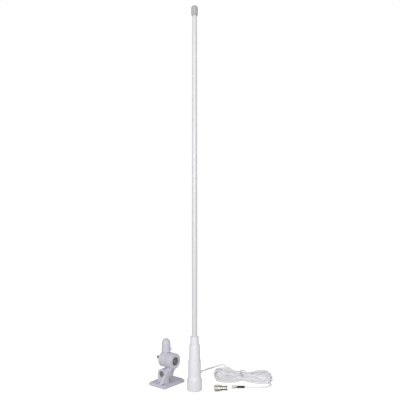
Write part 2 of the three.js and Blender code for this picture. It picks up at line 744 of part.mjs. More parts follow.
function adapterPieces() {
  const insulatorFrom = PLUG_INSET + INSULATOR_INSET;
  const insulatorTo = PLUG_INSET + PIN_HOLD - GAP;
  const insulator = ring(PIN_RADIUS + GAP, PLUG_BORE - GAP, insulatorFrom, insulatorTo, SMALL_ROUND);
  const pinRound = dome(PIN_RADIUS, PIN_RADIUS, 0, PIN_TIP_STEPS);
  const pinTip = pinRound.map(([radius, height]) => [radius, -height]);
  const pinEnd = ADAPTER_END - ADAPTER_SOCKET - GAP;
  const pin = lathed([...pinTip.reverse(), [PIN_RADIUS, pinEnd], [0, pinEnd]], SMALL_ROUND);
  return [
    piece('coupling_nut', couplingNut(), NICKEL),
    piece('adapter_body', adapterBody(), NICKEL),
    piece('adapter_insulator', insulator, PTFE),
    piece('adapter_pin', pin, BRASS),
  ];
}

// ------------------------------------------------------------------ ratchet mount
const STUD_PLACE = SEAM - HEAD_LENGTH / 2;
const DRUM_CREST = UPPER_PIVOT_HEIGHT + DRUM_RADIUS;
const STUD_TOP = DRUM_CREST + STUD_LENGTH;
const BARREL_FRONT = EAR_BACK + GAP;
const ARM_FACE = SEAM + GAP;

/** Turns a piece built along +Z to lie on the lower pivot, Z becoming Y. */
const onLowerPivot = (geometry) => geometry.rotateX(-Math.PI / 2).translate(0, 0, LOWER_PIVOT_HEIGHT);

/** Turns a piece built along +Z to lie on the upper pivot, Z becoming X. */
const onUpperPivot = (geometry) => geometry.rotateY(Math.PI / 2).translate(0, 0, UPPER_PIVOT_HEIGHT);

function screwCutters() {
  return [-1, 1].flatMap((x) => [-1, 1].flatMap((y) => {
    const place = [(x * SCREW_SPACING[0]) / 2, (y * SCREW_SPACING[1]) / 2, 0];
    const hole = bar(SCREW_RADIUS, -OVERCUT, PLATE_HEIGHT + OVERCUT, SMALL_ROUND);
    const seat = bar(SCREW_HEAD_RADIUS, PLATE_STEP, PLATE_HEIGHT + OVERCUT, SMALL_ROUND);
    return [hole.translate(...place), seat.translate(...place)];
  }));
}

function baseBracket() {
  const { left, right, top, foot, crest } = GUSSET;
  const edge = extruded(roundedRectangle(PLATE_WIDTH, PLATE_LENGTH, PLATE_CORNER), PLATE_STEP);
  const inset = 2 * PLATE_INSET;
  const deckOutline = roundedRectangle(PLATE_WIDTH - inset, PLATE_LENGTH - inset, PLATE_CORNER);
  const deck = extruded(deckOutline, PLATE_HEIGHT);
  const ear = onLowerPivot(bar(BARREL_RADIUS, EAR_FRONT, EAR_BACK));
  const webTop = [BARREL_RADIUS, EAR_BACK, LOWER_PIVOT_HEIGHT];
  const web = block([-BARREL_RADIUS, EAR_FRONT, PLATE_STEP], webTop);
  const side = polygon([[foot, PLATE_STEP], [EAR_BACK, PLATE_STEP], [EAR_BACK, top], [crest, top]]);
  const gusset = acrossX(side, left, right);
  const teeth = onLowerPivot(toothCutter(BARREL_RADIUS).translate(0, 0, EAR_BACK));
  const outside = EAR_FRONT - OVERCUT;
  const boltHole = onLowerPivot(bar(BOLT_RADIUS + GAP, outside, EAR_BACK + OVERCUT, SMALL_ROUND));
  const recess = onLowerPivot(bar(SMALL_RECESS_RADIUS, outside, EAR_FRONT + EAR_RECESS));
  const solid = join(edge, deck, ear, web, gusset);
  return cut(solid, teeth, boltHole, recess, ...screwCutters());
}

function swivelArm() {
  const shoulder = UPPER_PIVOT_HEIGHT - DRUM_RADIUS - LEG_ROOM;
  const barrel = onLowerPivot(bar(BARREL_RADIUS, BARREL_FRONT, BARREL_BACK));
  const drum = onUpperPivot(lathed([
    [0, ARM_FACE],
    [DRUM_RADIUS, ARM_FACE],
    [DRUM_RADIUS, DRUM_END - DRUM_CHAMFER],
    [DRUM_RADIUS - DRUM_CHAMFER, DRUM_END],
    [0, DRUM_END],
  ]));
  const leg = acrossY(polygon([
    [0, LOWER_PIVOT_HEIGHT],
    [BARREL_RADIUS - LEG_INSET, LOWER_PIVOT_HEIGHT],
    [LEG_FLANK, shoulder - LEG_INSET + LEG_SLOPE],
    [LEG_FLANK, UPPER_PIVOT_HEIGHT],
    [ARM_FACE, UPPER_PIVOT_HEIGHT],
    [ARM_FACE, shoulder],
    [0, shoulder - LEG_INSET],
  ]), LEG_FRONT, LEG_BACK);
  const lowerTeeth = toothCutter(BARREL_RADIUS).rotateX(Math.PI / 2);
  lowerTeeth.translate(0, BARREL_FRONT, LOWER_PIVOT_HEIGHT);
  const upperTeeth = toothCutter(DRUM_RADIUS).rotateY(-Math.PI / 2);
  upperTeeth.translate(ARM_FACE, 0, UPPER_PIVOT_HEIGHT);
  const hole = BOLT_RADIUS + GAP;
  const solid = join(barrel, drum, leg);
  return cut(
    solid,
    lowerTeeth,
    upperTeeth,
    onLowerPivot(bar(hole, BARREL_FRONT - OVERCUT, BARREL_BACK + OVERCUT, SMALL_ROUND)),
    onLowerPivot(bar(SMALL_RECESS_RADIUS, BARREL_BACK - BARREL_RECESS, BARREL_BACK + OVERCUT)),
    onUpperPivot(bar(hole, ARM_FACE - OVERCUT, DRUM_END + OVERCUT, SMALL_ROUND)),
    onUpperPivot(bar(LARGE_RECESS_RADIUS, DRUM_END - DRUM_RECESS, DRUM_END + OVERCUT)),
  );
}

function studHead() {
  const far = SEAM - HEAD_LENGTH;
  const drum = onUpperPivot(lathed([
    [0, far],
    [DRUM_RADIUS - DRUM_CHAMFER, far],
    [DRUM_RADIUS, far + DRUM_CHAMFER],
    [DRUM_RADIUS, SEAM],
    [0, SEAM],
  ]));
  const stud = lathed([
    [0, UPPER_PIVOT_HEIGHT],
    [STUD_RADIUS, UPPER_PIVOT_HEIGHT],
    [STUD_RADIUS, STUD_TOP - STUD_CHAMFER],
    [STUD_RADIUS - STUD_CHAMFER, STUD_TOP],
    [0, STUD_TOP],
  ]).translate(STUD_PLACE, 0, 0);
  return cut(
    join(drum, stud),
    onUpperPivot(toothCutter(DRUM_RADIUS).translate(0, 0, SEAM)),
    onUpperPivot(bar(BOLT_RADIUS + GAP, far - OVERCUT, SEAM + OVERCUT, SMALL_ROUND)),
    onUpperPivot(bar(SMALL_RECESS_RADIUS, far - OVERCUT, far + HEAD_RECESS)),
  );
}

function threadCap() {
  const mouth = DRUM_CREST + CAP_SEAT;
  const bore = STUD_RADIUS + GAP;
  const shell = lathed([
    [0, STUD_TOP + GAP],
    [bore - STUD_CHAMFER, STUD_TOP + GAP],
    [bore, STUD_TOP + GAP - STUD_CHAMFER],
    [bore, mouth],
    [CAP_RADIUS, mouth],
    ...dome(CAP_SHOULDER_RADIUS, CAP_DOME, mouth + CAP_SIDE),
  ]);
  const tabFrom = mouth + TAB_REACH;
  const tab = block(
    [CAP_RADIUS - OVERCUT, -TAB_WIDTH / 2, tabFrom],
    [CAP_RADIUS + TAB_REACH, TAB_WIDTH / 2, tabFrom + TAB_HEIGHT],
  ).rotateZ(-MOUNT_YAW);
  return join(shell, tab).translate(STUD_PLACE, 0, 0);
}

/** Bolt, nut and washers along +Z: the head sits on one floor and the nut on the other. */
function clampPieces(name, headFloor, nutFloor, spare, turn) {
  const bore = BOLT_RADIUS + GAP;
  const headTop = headFloor - WASHER_HEIGHT - 2 * GAP;
  const nutFrom = nutFloor + WASHER_HEIGHT + 2 * GAP;
  const nutTo = nutFrom + NUT_HEIGHT;
  const shank = bar(BOLT_RADIUS, headTop - OVERCUT, nutTo + spare, SMALL_ROUND);
  const bolt = join(hexBar(BOLT_HEAD_RADIUS, headTop - BOLT_HEAD_HEIGHT, headTop), shank);
  const washer = (from) => ring(bore, WASHER_RADIUS, from, from + WASHER_HEIGHT, SMALL_ROUND);
  return [
    piece(`${name}_bolt`, turn(bolt), BLACK_STEEL),
    piece(`${name}_bolt_washer`, turn(washer(headTop + GAP)), BLACK_STEEL),
    piece(`${name}_nut_washer`, turn(washer(nutFloor + GAP)), BLACK_STEEL),
    piece(`${name}_nut`, turn(hexBar(BOLT_HEAD_RADIUS, nutFrom, nutTo, bore)), BLACK_STEEL),
  ];
}

function mountPieces() {
  const towardsHead = (geometry) => onUpperPivot(geometry.rotateX(Math.PI));
  const farRecess = -(SEAM - HEAD_LENGTH + HEAD_RECESS);
  return [
    piece('base_bracket', baseBracket(), GREY_NYLON),
    piece('swivel_arm', swivelArm(), GREY_NYLON),
    piece('stud_head', studHead(), GREY_NYLON),
    piece('thread_cap', threadCap(), GREY_NYLON),
    ...clampPieces(
      'lower', EAR_FRONT + EAR_RECESS, BARREL_BACK - BARREL_RECESS, LOWER_BOLT_SPARE, onLowerPivot,
    ),
    ...clampPieces('upper', DRUM_RECESS - DRUM_END, farRecess, UPPER_BOLT_SPARE, towardsHead),
  ];
}

// ------------------------------------------------------------------ assembly
function group(place, pieces) {
  const whole = new THREE.Group();
  whole.position.set(...place);
  whole.add(...pieces);
  return whole;
}

const mount = group([0, 0, 0], mountPieces());
mount.rotation.z = MOUNT_YAW;

const connector = group([...CONNECTOR_PLACE, CONNECTOR_RADIUS + STEP_UP], connectorPieces());
connector.rotation.y = -Math.PI / 2;

const adapter = group([...ADAPTER_PLACE, NUT_RADIUS + STEP_UP], adapterPieces());
adapter.rotation.y = Math.PI / 2;

const whip = group([...ANTENNA_PLACE, 0], [...antennaPieces(), ...cablePieces(), connector, adapter]);

export default group([0, 0, 0], [mount, whip]);
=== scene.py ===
"""Looks of a marine VHF whip antenna, its ratchet mount, its hank of coax and its connectors.

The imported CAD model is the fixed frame. Each sub-assembly below is a class that holds its sizes in
millimetres, builds its pieces where the frame says and dresses them in a procedural finish.
"""

import json
import logging
import math
from dataclasses import dataclass, field
from enum import Enum
from typing import Iterable, Sequence

import bmesh
import bpy
import numpy as np
from mathutils import Matrix, Vector


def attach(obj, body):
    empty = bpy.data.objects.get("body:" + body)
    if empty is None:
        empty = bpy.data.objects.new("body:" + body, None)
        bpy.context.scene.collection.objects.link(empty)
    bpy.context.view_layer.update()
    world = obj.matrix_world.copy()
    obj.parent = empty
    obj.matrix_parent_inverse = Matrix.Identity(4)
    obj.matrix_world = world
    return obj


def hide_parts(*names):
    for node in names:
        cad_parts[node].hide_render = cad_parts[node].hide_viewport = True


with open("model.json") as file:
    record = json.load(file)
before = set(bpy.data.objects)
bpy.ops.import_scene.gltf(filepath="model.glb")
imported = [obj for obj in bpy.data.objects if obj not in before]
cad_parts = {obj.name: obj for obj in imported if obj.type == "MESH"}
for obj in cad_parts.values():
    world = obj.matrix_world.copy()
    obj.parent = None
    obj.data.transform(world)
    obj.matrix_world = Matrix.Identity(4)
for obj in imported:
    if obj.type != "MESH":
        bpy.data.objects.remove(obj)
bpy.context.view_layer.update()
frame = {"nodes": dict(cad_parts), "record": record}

log = logging.getLogger("antenna")
MM = 0.001
STUD_PITCH = 1.814  # 1 inch - 14
Colour = tuple[float, float, float]
Outline = list[tuple[float, float]]


class Side(Enum):
    """Which way a piece built along +Z is turned."""

    RIGHT = "right"
    LEFT = "left"
    BACK = "back"
    FRONT = "front"


TURNS = {
    Side.RIGHT: Matrix.Rotation(math.pi / 2, 4, "Y"),
    Side.LEFT: Matrix.Rotation(-math.pi / 2, 4, "Y"),
    Side.BACK: Matrix.Rotation(-math.pi / 2, 4, "X"),
    Side.FRONT: Matrix.Rotation(math.pi / 2, 4, "X"),
}


# ---------------------------------------------------------------- node trees
class Socket:
    """A socket of a node tree, whose operators add Math nodes."""

    def __init__(self, tree: "NodeTree", link: object) -> None:
        """Wraps a socket.

        Args:
            tree: The tree that the socket belongs to.
            link: The node's own output socket.
        """
        self.tree = tree
        self.link = link

    def _maths(self, operation: str, *values: object) -> "Socket":
        """Adds one Math node on these values."""
        inputs = dict(enumerate(values))
        return self.tree.node("ShaderNodeMath", {"operation": operation}, inputs)

    def __add__(self, other: object) -> "Socket":
        """Adds."""
        return self._maths("ADD", self, other)

    def __sub__(self, other: object) -> "Socket":
        """Subtracts."""
        return self._maths("SUBTRACT", self, other)

    def __mul__(self, other: object) -> "Socket":
        """Multiplies."""
        return self._maths("MULTIPLY", self, other)

    def __rsub__(self, other: object) -> "Socket":
        """Subtracts this from a number."""
        return self._maths("SUBTRACT", other, self)

    def __gt__(self, other: object) -> "Socket":
        """One where this is greater."""
        return self._maths("GREATER_THAN", self, other)

    __radd__ = __add__
    __rmul__ = __mul__

    def sine(self) -> "Socket":
        """The sine of this, in radians."""
        return self._maths("SINE", self)


class NodeTree:
    """A node tree that is written as expressions."""

    def __init__(self, tree: bpy.types.NodeTree) -> None:
        """Empties a tree and takes it over.

        Args:
            tree: The tree to fill.
        """
        tree.nodes.clear()
        self.tree = tree

    def node(
        self, kind: str, settings: dict[str, object] | None = None,
        inputs: dict[object, object] | None = None, output: object = 0,
    ) -> Socket:
        """Adds one node.

        Args:
            kind: The node's type.
            settings: Its own settings, which are set first.
            inputs: Values or sockets by input name or number.
            output: The name or number of the output wanted.

        Returns:
            That output.
        """
        made = self.tree.nodes.new(kind)
        for name, value in (settings or {}).items():
            setattr(made, name, value)
        for key, value in (inputs or {}).items():
            for single in value if isinstance(value, list) else [value]:
                if isinstance(single, Socket):
                    self.tree.links.new(single.link, made.inputs[key])
                else:
                    made.inputs[key].default_value = single
        return Socket(self, made.outputs[output]) if len(made.outputs) else Socket(self, None)


class Surface(NodeTree):
    """The shader tree of one finish, on one Principled surface."""

    def __init__(self, name: str) -> None:
        """Starts a material.

        Args:
            name: The material's name.
        """
        self.material = bpy.data.materials.new(name)
        self.material.use_nodes = True
        super().__init__(self.material.node_tree)
        self.place = self.node("ShaderNodeTexCoord", output="Object")

    def scaled(self, x: float, y: float, z: float) -> Socket:
        """The place on the object, stretched along each axis."""
        return self.node("ShaderNodeMapping", inputs={"Vector": self.place, "Scale": (x, y, z)})

    def noise(self, size_mm: float, detail: float = 3.0, place: Socket | None = None) -> Socket:
        """Noise of a grain size in millimetres, from 0 to 1."""
        inputs = {"Vector": place or self.place, "Scale": 1.0 / (size_mm * MM), "Detail": detail}
        return self.node("ShaderNodeTexNoise", inputs=inputs)

    def spread(
        self, value: Socket, low: float, high: float, start: float = 0.3, end: float = 0.7,
    ) -> Socket:
        """Maps a value from start..end to low..high, and holds it there."""
        inputs = {"Value": value, "From Min": start, "From Max": end, "To Min": low, "To Max": high}
        return self.node("ShaderNodeMapRange", {"clamp": True}, inputs)

    def blend(self, share: object, first: object, second: object) -> Socket:
        """A colour between two colours."""
        inputs = {0: share, 6: rgba(first), 7: rgba(second)}
        return self.node("ShaderNodeMix", {"data_type": "RGBA"}, inputs, 2)

    def bump(self, height: Socket, depth_mm: float, strength: float = 1.0) -> Socket:
        """A normal that a height field of this depth bends."""
        inputs = {"Height": height, "Distance": depth_mm * MM, "Strength": strength}
        return self.node("ShaderNodeBump", inputs=inputs)

    def finish(self, settings: dict[str, object]) -> bpy.types.Material:
        """Ends the tree in a Principled surface.

        Args:
            settings: The surface's sockets, by name.

        Returns:
            The material.
        """
        shader = self.node("ShaderNodeBsdfPrincipled", inputs=settings)
        self.node("ShaderNodeOutputMaterial", inputs={"Surface": shader})
        return self.material


def rgba(colour: object) -> object:
    """A colour with alpha 1, or the socket as it is."""
    return colour if isinstance(colour, Socket) else (*colour, 1.0)


# ---------------------------------------------------------------- finishes
@dataclass(frozen=True)
class MouldedPlastic:
    """Injection-moulded or coated plastic: a fine grain, soft flow marks and handling dust."""

    name: str
    colour: Colour
    shade: Colour
    roughness: float
    grain_mm: float = 0.35
    grain_depth_mm: float = 0.012
    flow_mm: float = 28.0
    stretch: Colour = (1.0, 1.0, 1.0)
    coat: float = 0.0

    def material(self) -> bpy.types.Material:
        """Builds the finish."""
        surface = Surface(self.name)
        drawn = surface.scaled(*self.stretch)
        flow = surface.noise(self.flow_mm, 4.0, drawn)
        speckle = surface.noise(self.grain_mm * 7, 2.0, drawn)
        grain = surface.noise(self.grain_mm, 3.0, drawn)
        colour = surface.blend(surface.spread(flow, 0.0, 1.0), self.colour, self.shade)
        dust = surface.spread(speckle, 0.0, 0.10, 0.55, 0.8)
        colour = surface.blend(dust, colour, tuple(c * 0.82 for c in self.shade))
        rough = surface.spread(flow, -0.05, 0.06) + surface.spread(speckle, 0.0, 0.07) + self.roughness
        normal = surface.bump(grain * 0.7 + speckle * 0.3, self.grain_depth_mm)
        return surface.finish({
            "Base Color": colour, "Roughness": rough, "Normal": normal,
            "Coat Weight": self.coat, "Coat Roughness": 0.12,
        })


@dataclass(frozen=True)
class PlatedMetal:
    """Plated, drawn or dark grey metal with turning lines and fine scratches."""

    name: str
    colour: Colour
    shade: Colour
    roughness: float
    metallic: float = 1.0
    line_mm: float = 0.5
    line_depth_mm: float = 0.006
    along: Colour = (1.0, 0.06, 0.06)

    def material(self) -> bpy.types.Material:
        """Builds the finish."""
        surface = Surface(self.name)
        lines = surface.noise(self.line_mm, 2.0, surface.scaled(*self.along))
        stain = surface.noise(6.0, 4.0)
        scratch = surface.noise(0.9, 5.0, surface.scaled(0.15, 1.0, 1.0))
        colour = surface.blend(surface.spread(stain, 0.0, 1.0), self.colour, self.shade)
        marks = surface.spread(stain, 0.0, 0.12) + surface.spread(scratch, 0.0, 0.10, 0.5, 0.75)
        rough = marks + self.roughness
        normal = surface.bump(lines * 0.6 + scratch * 0.4, self.line_depth_mm)
        return surface.finish({
            "Base Color": colour, "Roughness": rough, "Metallic": self.metallic, "Normal": normal,
        })


@dataclass(frozen=True)
class CableJacket:
    """Extruded PVC: faint draw lines along the cable, soft scuffs and a change of shade by length."""

    name: str
    colour: Colour
    shade: Colour
    roughness: float

    def material(self) -> bpy.types.Material:
        """Builds the finish."""
        surface = Surface(self.name)
        along = surface.node("ShaderNodeAttribute", {"attribute_name": "along"}, output="Fac")
        slow = surface.node("ShaderNodeTexNoise", {"noise_dimensions": "1D"}, {"W": along, "Scale": 9.0})
        scuff = surface.noise(3.5, 5.0)
        grain = surface.noise(0.3, 2.0)
        colour = surface.blend(surface.spread(slow, 0.0, 1.0), self.colour, self.shade)
        grime = surface.spread(scuff, 0.0, 0.16, 0.55, 0.75)
        colour = surface.blend(grime, colour, tuple(c * 0.7 for c in self.shade))
        rough = surface.spread(scuff, -0.04, 0.1) + self.roughness
        ripple = (along * 900.0).sine() * 0.15
        normal = surface.bump(grain * 0.6 + scuff * 0.3 + ripple, 0.015)
        return surface.finish({"Base Color": colour, "Roughness": rough, "Normal": normal})


@dataclass(frozen=True)
class Finishes:
    """Every finish of the set, by the record's slot name."""

    white_cap: MouldedPlastic = MouldedPlastic("cap nylon", (0.45, 0.45, 0.47), (0.42, 0.42, 0.44), 0.38)
    white_radome: MouldedPlastic = MouldedPlastic(
        "radome glass fibre", (0.74, 0.74, 0.76), (0.71, 0.71, 0.74), 0.26, grain_mm=0.5,
        grain_depth_mm=0.02, flow_mm=12.0, stretch=(1.0, 1.0, 0.05), coat=0.35,
    )
    white_nylon: MouldedPlastic = MouldedPlastic(
        "ferrule nylon", (0.81, 0.81, 0.84), (0.78, 0.78, 0.82), 0.34, coat=0.1,
    )
    grey_nylon: MouldedPlastic = MouldedPlastic(
        "mount nylon", (0.63, 0.62, 0.69), (0.59, 0.58, 0.66), 0.42, grain_mm=0.5,
        grain_depth_mm=0.03, flow_mm=18.0,
    )
    white_tie: MouldedPlastic = MouldedPlastic(
        "tie plastic", (0.78, 0.78, 0.84), (0.72, 0.72, 0.80), 0.5,
    )
    black_sleeve: MouldedPlastic = MouldedPlastic(
        "heat-shrink", (0.010, 0.010, 0.011), (0.018, 0.018, 0.019), 0.42, grain_depth_mm=0.03,
    )
    black_rubber: MouldedPlastic = MouldedPlastic(
        "seal rubber", (0.02, 0.02, 0.021), (0.03, 0.03, 0.03), 0.75,
    )
    ptfe: MouldedPlastic = MouldedPlastic("ptfe", (0.86, 0.85, 0.81), (0.82, 0.81, 0.77), 0.5)
    foam: MouldedPlastic = MouldedPlastic(
        "cut foam", (0.80, 0.76, 0.66), (0.72, 0.68, 0.58), 0.9, grain_mm=0.8, grain_depth_mm=0.3,
    )
    white_jacket: CableJacket = CableJacket("coax jacket", (0.90, 0.90, 0.93), (0.86, 0.86, 0.90), 0.36)
    # The clamp bolts and nuts are coloured a dark grey steel.
    black_steel: PlatedMetal = PlatedMetal(
        "dark grey steel", (0.20, 0.205, 0.195), (0.28, 0.285, 0.265), 0.4, metallic=0.5,
    )
    nickel: PlatedMetal = PlatedMetal("nickel plate", (0.54, 0.52, 0.47), (0.40, 0.38, 0.34), 0.16)
    brass: PlatedMetal = PlatedMetal("brass", (0.76, 0.58, 0.25), (0.66, 0.48, 0.19), 0.26)
    copper: PlatedMetal = PlatedMetal("enamelled copper", (0.70, 0.33, 0.16), (0.58, 0.25, 0.11), 0.3)

    def make(self) -> dict[str, bpy.types.Material]:
        """Builds each finish.

        Returns:
            The materials by slot name.
        """
        return {name: getattr(self, name).material() for name in self.__dataclass_fields__}


# ---------------------------------------------------------------- meshes
def eased(outline: Outline, radius: float, steps: int = 3, closed: bool = True) -> Outline:
    """Rounds the corners of an outline.

    Args:
        outline: Its corners.
        radius: How far along each side the round reaches, at most.
        steps: Points of each round, past its first.
        closed: Whether the last corner joins the first.

    Returns:
        The points of the rounded outline.
    """
    corners = [Vector(corner) for corner in outline]
    count = len(corners)
    rounded: Outline = []
    for index, corner in enumerate(corners):
        if not closed and index in (0, count - 1):
            rounded.append(tuple(corner))
            continue
        before = corners[index - 1] - corner
        after = corners[(index + 1) % count] - corner
        reach = min(radius, before.length * 0.45, after.length * 0.45)
        if before.normalized().dot(after.normalized()) < -0.97:
            rounded.append(tuple(corner))
            continue
        start, end = corner + before.normalized() * reach, corner + after.normalized() * reach
        for step in range(steps + 1):
            share = step / steps
            point = start.lerp(corner, share).lerp(corner.lerp(end, share), share)
            rounded.append(tuple(point))
    return rounded


class Solid:
    """A piece's mesh under construction, in millimetres in its sub-assembly's own frame."""

    def __init__(self) -> None:
        """Starts an empty mesh."""
        self.mesh = bmesh.new()

    def _place(
        self, made: list[bmesh.types.BMVert], faces: list[bmesh.types.BMFace], turn: Matrix | None,
    ) -> "Solid":
        """Turns new faces outwards and puts them where they go."""
        bmesh.ops.recalc_face_normals(self.mesh, faces=faces)
        bmesh.ops.transform(self.mesh, matrix=turn or Matrix.Identity(4), verts=made)
        return self

    def revolve(
        self, outline: Outline, sides: int = 96, turn: Matrix | None = None,
        closed: bool = False, edge: float = 0.0,
    ) -> "Solid":
        """Turns an outline of radius and height about +Z.

        Args:
            outline: Its points; an open one starts and ends on the axis.
            sides: Faces around the axis.
            turn: Where the turned shape goes.
            closed: Whether the outline is a ring's closed section.
            edge: Size of the round on each corner.

        Returns:
            This solid.
        """
        points = eased(outline, edge, 3, closed) if edge else outline
        made: list[bmesh.types.BMVert] = []
        rings = []
        for radius, height in points:
            if radius < 1e-6:
                rings.append([self.mesh.verts.new((0, 0, height))])
            else:
                angles = [2 * math.pi * side / sides for side in range(sides)]
                rings.append([
                    self.mesh.verts.new((radius * math.cos(a), radius * math.sin(a), height))
                    for a in angles
                ])
            made += rings[-1]
        pairs = list(zip(rings, rings[1:] + rings[:1])) if closed else list(zip(rings, rings[1:]))
        faces = []
        for low, high in pairs:
            for side in range(sides):
                following = (side + 1) % sides
                corners = [low[side % len(low)], low[following % len(low)]]
                corners += [high[following % len(high)], high[side % len(high)]]
                corners = list(dict.fromkeys(corners))
                if len(corners) > 2:
                    faces.append(self.mesh.faces.new(corners))
        return self._place(made, faces, turn)

    def prism(self, outline: Outline, start: float, end: float, turn: Matrix | None = None) -> "Solid":
        """Extrudes an outline along +Z.

        Args:
            outline: Its corners in X and Y.
            start: Height of its lower end.
            end: Height of its upper end.
            turn: Where it goes.

        Returns:
            This solid.
        """
        low = [self.mesh.verts.new((x, y, start)) for x, y in outline]
        high = [self.mesh.verts.new((x, y, end)) for x, y in outline]
        count = len(outline)
        faces = [self.mesh.faces.new(low), self.mesh.faces.new(high)]
        for index in range(count):
            after = (index + 1) % count
            faces.append(self.mesh.faces.new((low[index], low[after], high[after], high[index])))
        return self._place(low + high, faces, turn)

    def piece(
        self, name: str, place: Matrix, bevel: float = 0.0, angle: float = 35.0,
    ) -> bpy.types.Object:
        """Ends the mesh as an object at the origin.

        Args:
            name: The piece's name.
            place: From the sub-assembly's frame to the whole object's, in millimetres.
            bevel: Width of the round on its edges, in millimetres.
            angle: Steepest angle in degrees that shades smooth.

        Returns:
            The object.
        """
        scale = Matrix.Scale(MM, 4)
        bmesh.ops.transform(self.mesh, matrix=scale @ place, verts=self.mesh.verts)
        data = bpy.data.meshes.new(name)
        self.mesh.to_mesh(data)
        self.mesh.free()
        made = bpy.data.objects.new(name, data)
        bpy.context.collection.objects.link(made)
        if bevel:
            round_edges(made, bevel, angle)
        made.data.shade_smooth()
        return sharpen(made, angle)


def sharpen(piece: bpy.types.Object, angle: float) -> bpy.types.Object:
    """Keeps edges steeper than an angle in degrees sharp."""
    piece.data.set_sharp_from_angle(angle=math.radians(angle))
    return piece


def round_edges(piece: bpy.types.Object, width: float, angle: float) -> None:
    """Rounds the edges of a piece.

    Args:
        piece: The object.
        width: Width of the round in millimetres.
        angle: Least angle in degrees of an edge that is rounded.
    """
    rounding = piece.modifiers.new("edges", "BEVEL")
    rounding.width, rounding.segments = width * MM, 3
    rounding.limit_method, rounding.angle_limit = "ANGLE", math.radians(angle)
    bake(piece)


def bake(piece: bpy.types.Object) -> bpy.types.Object:
    """Turns a piece's modifiers into its plain mesh.

    Args:
        piece: The object with modifiers.

    Returns:
        The same object.
    """
    evaluated = piece.evaluated_get(bpy.context.evaluated_depsgraph_get())
    baked = bpy.data.meshes.new_from_object(evaluated)
    piece.modifiers.clear()
    old, piece.data = piece.data, baked
    if isinstance(old, bpy.types.Mesh):
        bpy.data.meshes.remove(old)
    baked.name = piece.name
    return piece


def carve(
    body: bpy.types.Object, cutters: Iterable[bpy.types.Object], joined: Iterable[bpy.types.Object] = (),
) -> None:
    """Joins solids to a body and cuts others out of it.

    Args:
        body: The solid that stays.
        cutters: Solids to cut away, which are then removed.
        joined: Solids to add first, which are then removed.
    """
    steps = [(tool, "UNION") for tool in joined] + [(tool, "DIFFERENCE") for tool in cutters]
    for tool, operation in steps:
        boolean = body.modifiers.new("carve", "BOOLEAN")
        boolean.object, boolean.operation, boolean.solver = tool, operation, "EXACT"
        bake(body)
        bpy.data.objects.remove(tool, do_unlink=True)


class Repeater(NodeTree):
    """A Geometry Nodes tree that ends in realised instances with one material."""

    def __init__(self, name: str, sizes: dict[str, float], material: bpy.types.Material) -> None:
        """Starts the tree with its named sizes.

        Args:
            name: The tree's name.
            sizes: Its inputs and their values, in metres and radians.
            material: The finish of what it makes.
        """
        group = bpy.data.node_groups.new(name, "GeometryNodeTree")
        group.interface.new_socket("Geometry", in_out="INPUT", socket_type="NodeSocketGeometry")
        for size in sizes:
            group.interface.new_socket(size, in_out="INPUT", socket_type="NodeSocketFloat")
        group.interface.new_socket("Geometry", in_out="OUTPUT", socket_type="NodeSocketGeometry")
        super().__init__(group)
        self.sizes = sizes
        self.material = material
        self.entry = self.tree.nodes.new("NodeGroupInput")

    def given(self, name: str) -> Socket:
        """One of the tree's inputs."""
        return Socket(self, self.entry.outputs[name])

    def close(self, geometry: Socket) -> None:
        """Ends the tree in plain, finished geometry."""
        real = self.node("GeometryNodeRealizeInstances", inputs={0: geometry})
        smooth = self.node("GeometryNodeSetShadeSmooth", inputs={0: real})
        dressed = self.node("GeometryNodeSetMaterial", inputs={0: smooth, "Material": self.material})
        self.node("NodeGroupOutput", inputs={0: dressed})

    def run(self, piece: bpy.types.Object) -> bpy.types.Object:
        """Runs the tree on a piece and leaves the plain result."""
        modifier = piece.modifiers.new(self.tree.name, "NODES")
        modifier.node_group = self.tree
        for socket in self.tree.interface.items_tree:
            if socket.in_out == "INPUT" and socket.name in self.sizes:
                modifier[socket.identifier] = float(self.sizes[socket.name])
        return bake(piece)


def polyline(name: str, points: np.ndarray) -> bpy.types.Object:
    """An object of one open line.

    Args:
        name: Its name.
        points: Its points in metres.

    Returns:
        The object.
    """
    data = bpy.data.meshes.new(name)
    data.from_pydata([tuple(p) for p in points], [(i, i + 1) for i in range(len(points) - 1)], [])
    made = bpy.data.objects.new(name, data)
    bpy.context.collection.objects.link(made)
    return made


def tube(
    name: str, points: np.ndarray, radius: float, material: bpy.types.Material, sides: int = 14,
) -> bpy.types.Object:
    """A round tube with closed ends along a path, which stores its length along it.

    Args:
        name: The piece's name.
        points: The path in metres.
        radius: Its radius in metres.
        material: Its finish.
        sides: Faces around it.

    Returns:
        The piece.
    """
    tree = Repeater(f"{name} sweep", {"Radius": radius}, material)
    spine = tree.node("GeometryNodeMeshToCurve", inputs={0: tree.given("Geometry")})
    reach = tree.node("GeometryNodeSplineParameter", output="Length")
    settings = {"data_type": "FLOAT", "domain": "POINT"}
    marked = tree.node(
        "GeometryNodeStoreNamedAttribute", settings, {0: spine, "Name": "along", "Value": reach},
    )
    section = tree.node(
        "GeometryNodeCurvePrimitiveCircle", inputs={"Resolution": sides, "Radius": tree.given("Radius")},
    )
    swept = tree.node("GeometryNodeCurveToMesh", inputs={0: marked, 1: section, "Fill Caps": True})
    tree.close(swept)
    return tree.run(polyline(name, points))


def dress(
    piece: bpy.types.Object, finishes: dict[str, bpy.types.Material], body: str, slot: str, *nodes: str,
) -> bpy.types.Object:
    """Gives a piece its finish and its place in the frame.

    Args:
        piece: The finished object.
        finishes: The materials by slot.
        body: The CAD body that it moves with.
        slot: The record's slot of its finish.
        nodes: CAD nodes that it stands for.

    Returns:
        The piece.
    """
    piece.data.materials.clear()
    piece.data.materials.append(finishes[slot])
    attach(piece, body)
    if nodes:
        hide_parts(*nodes)
    log.info("%s rides on %s", piece.name, body)
    return piece


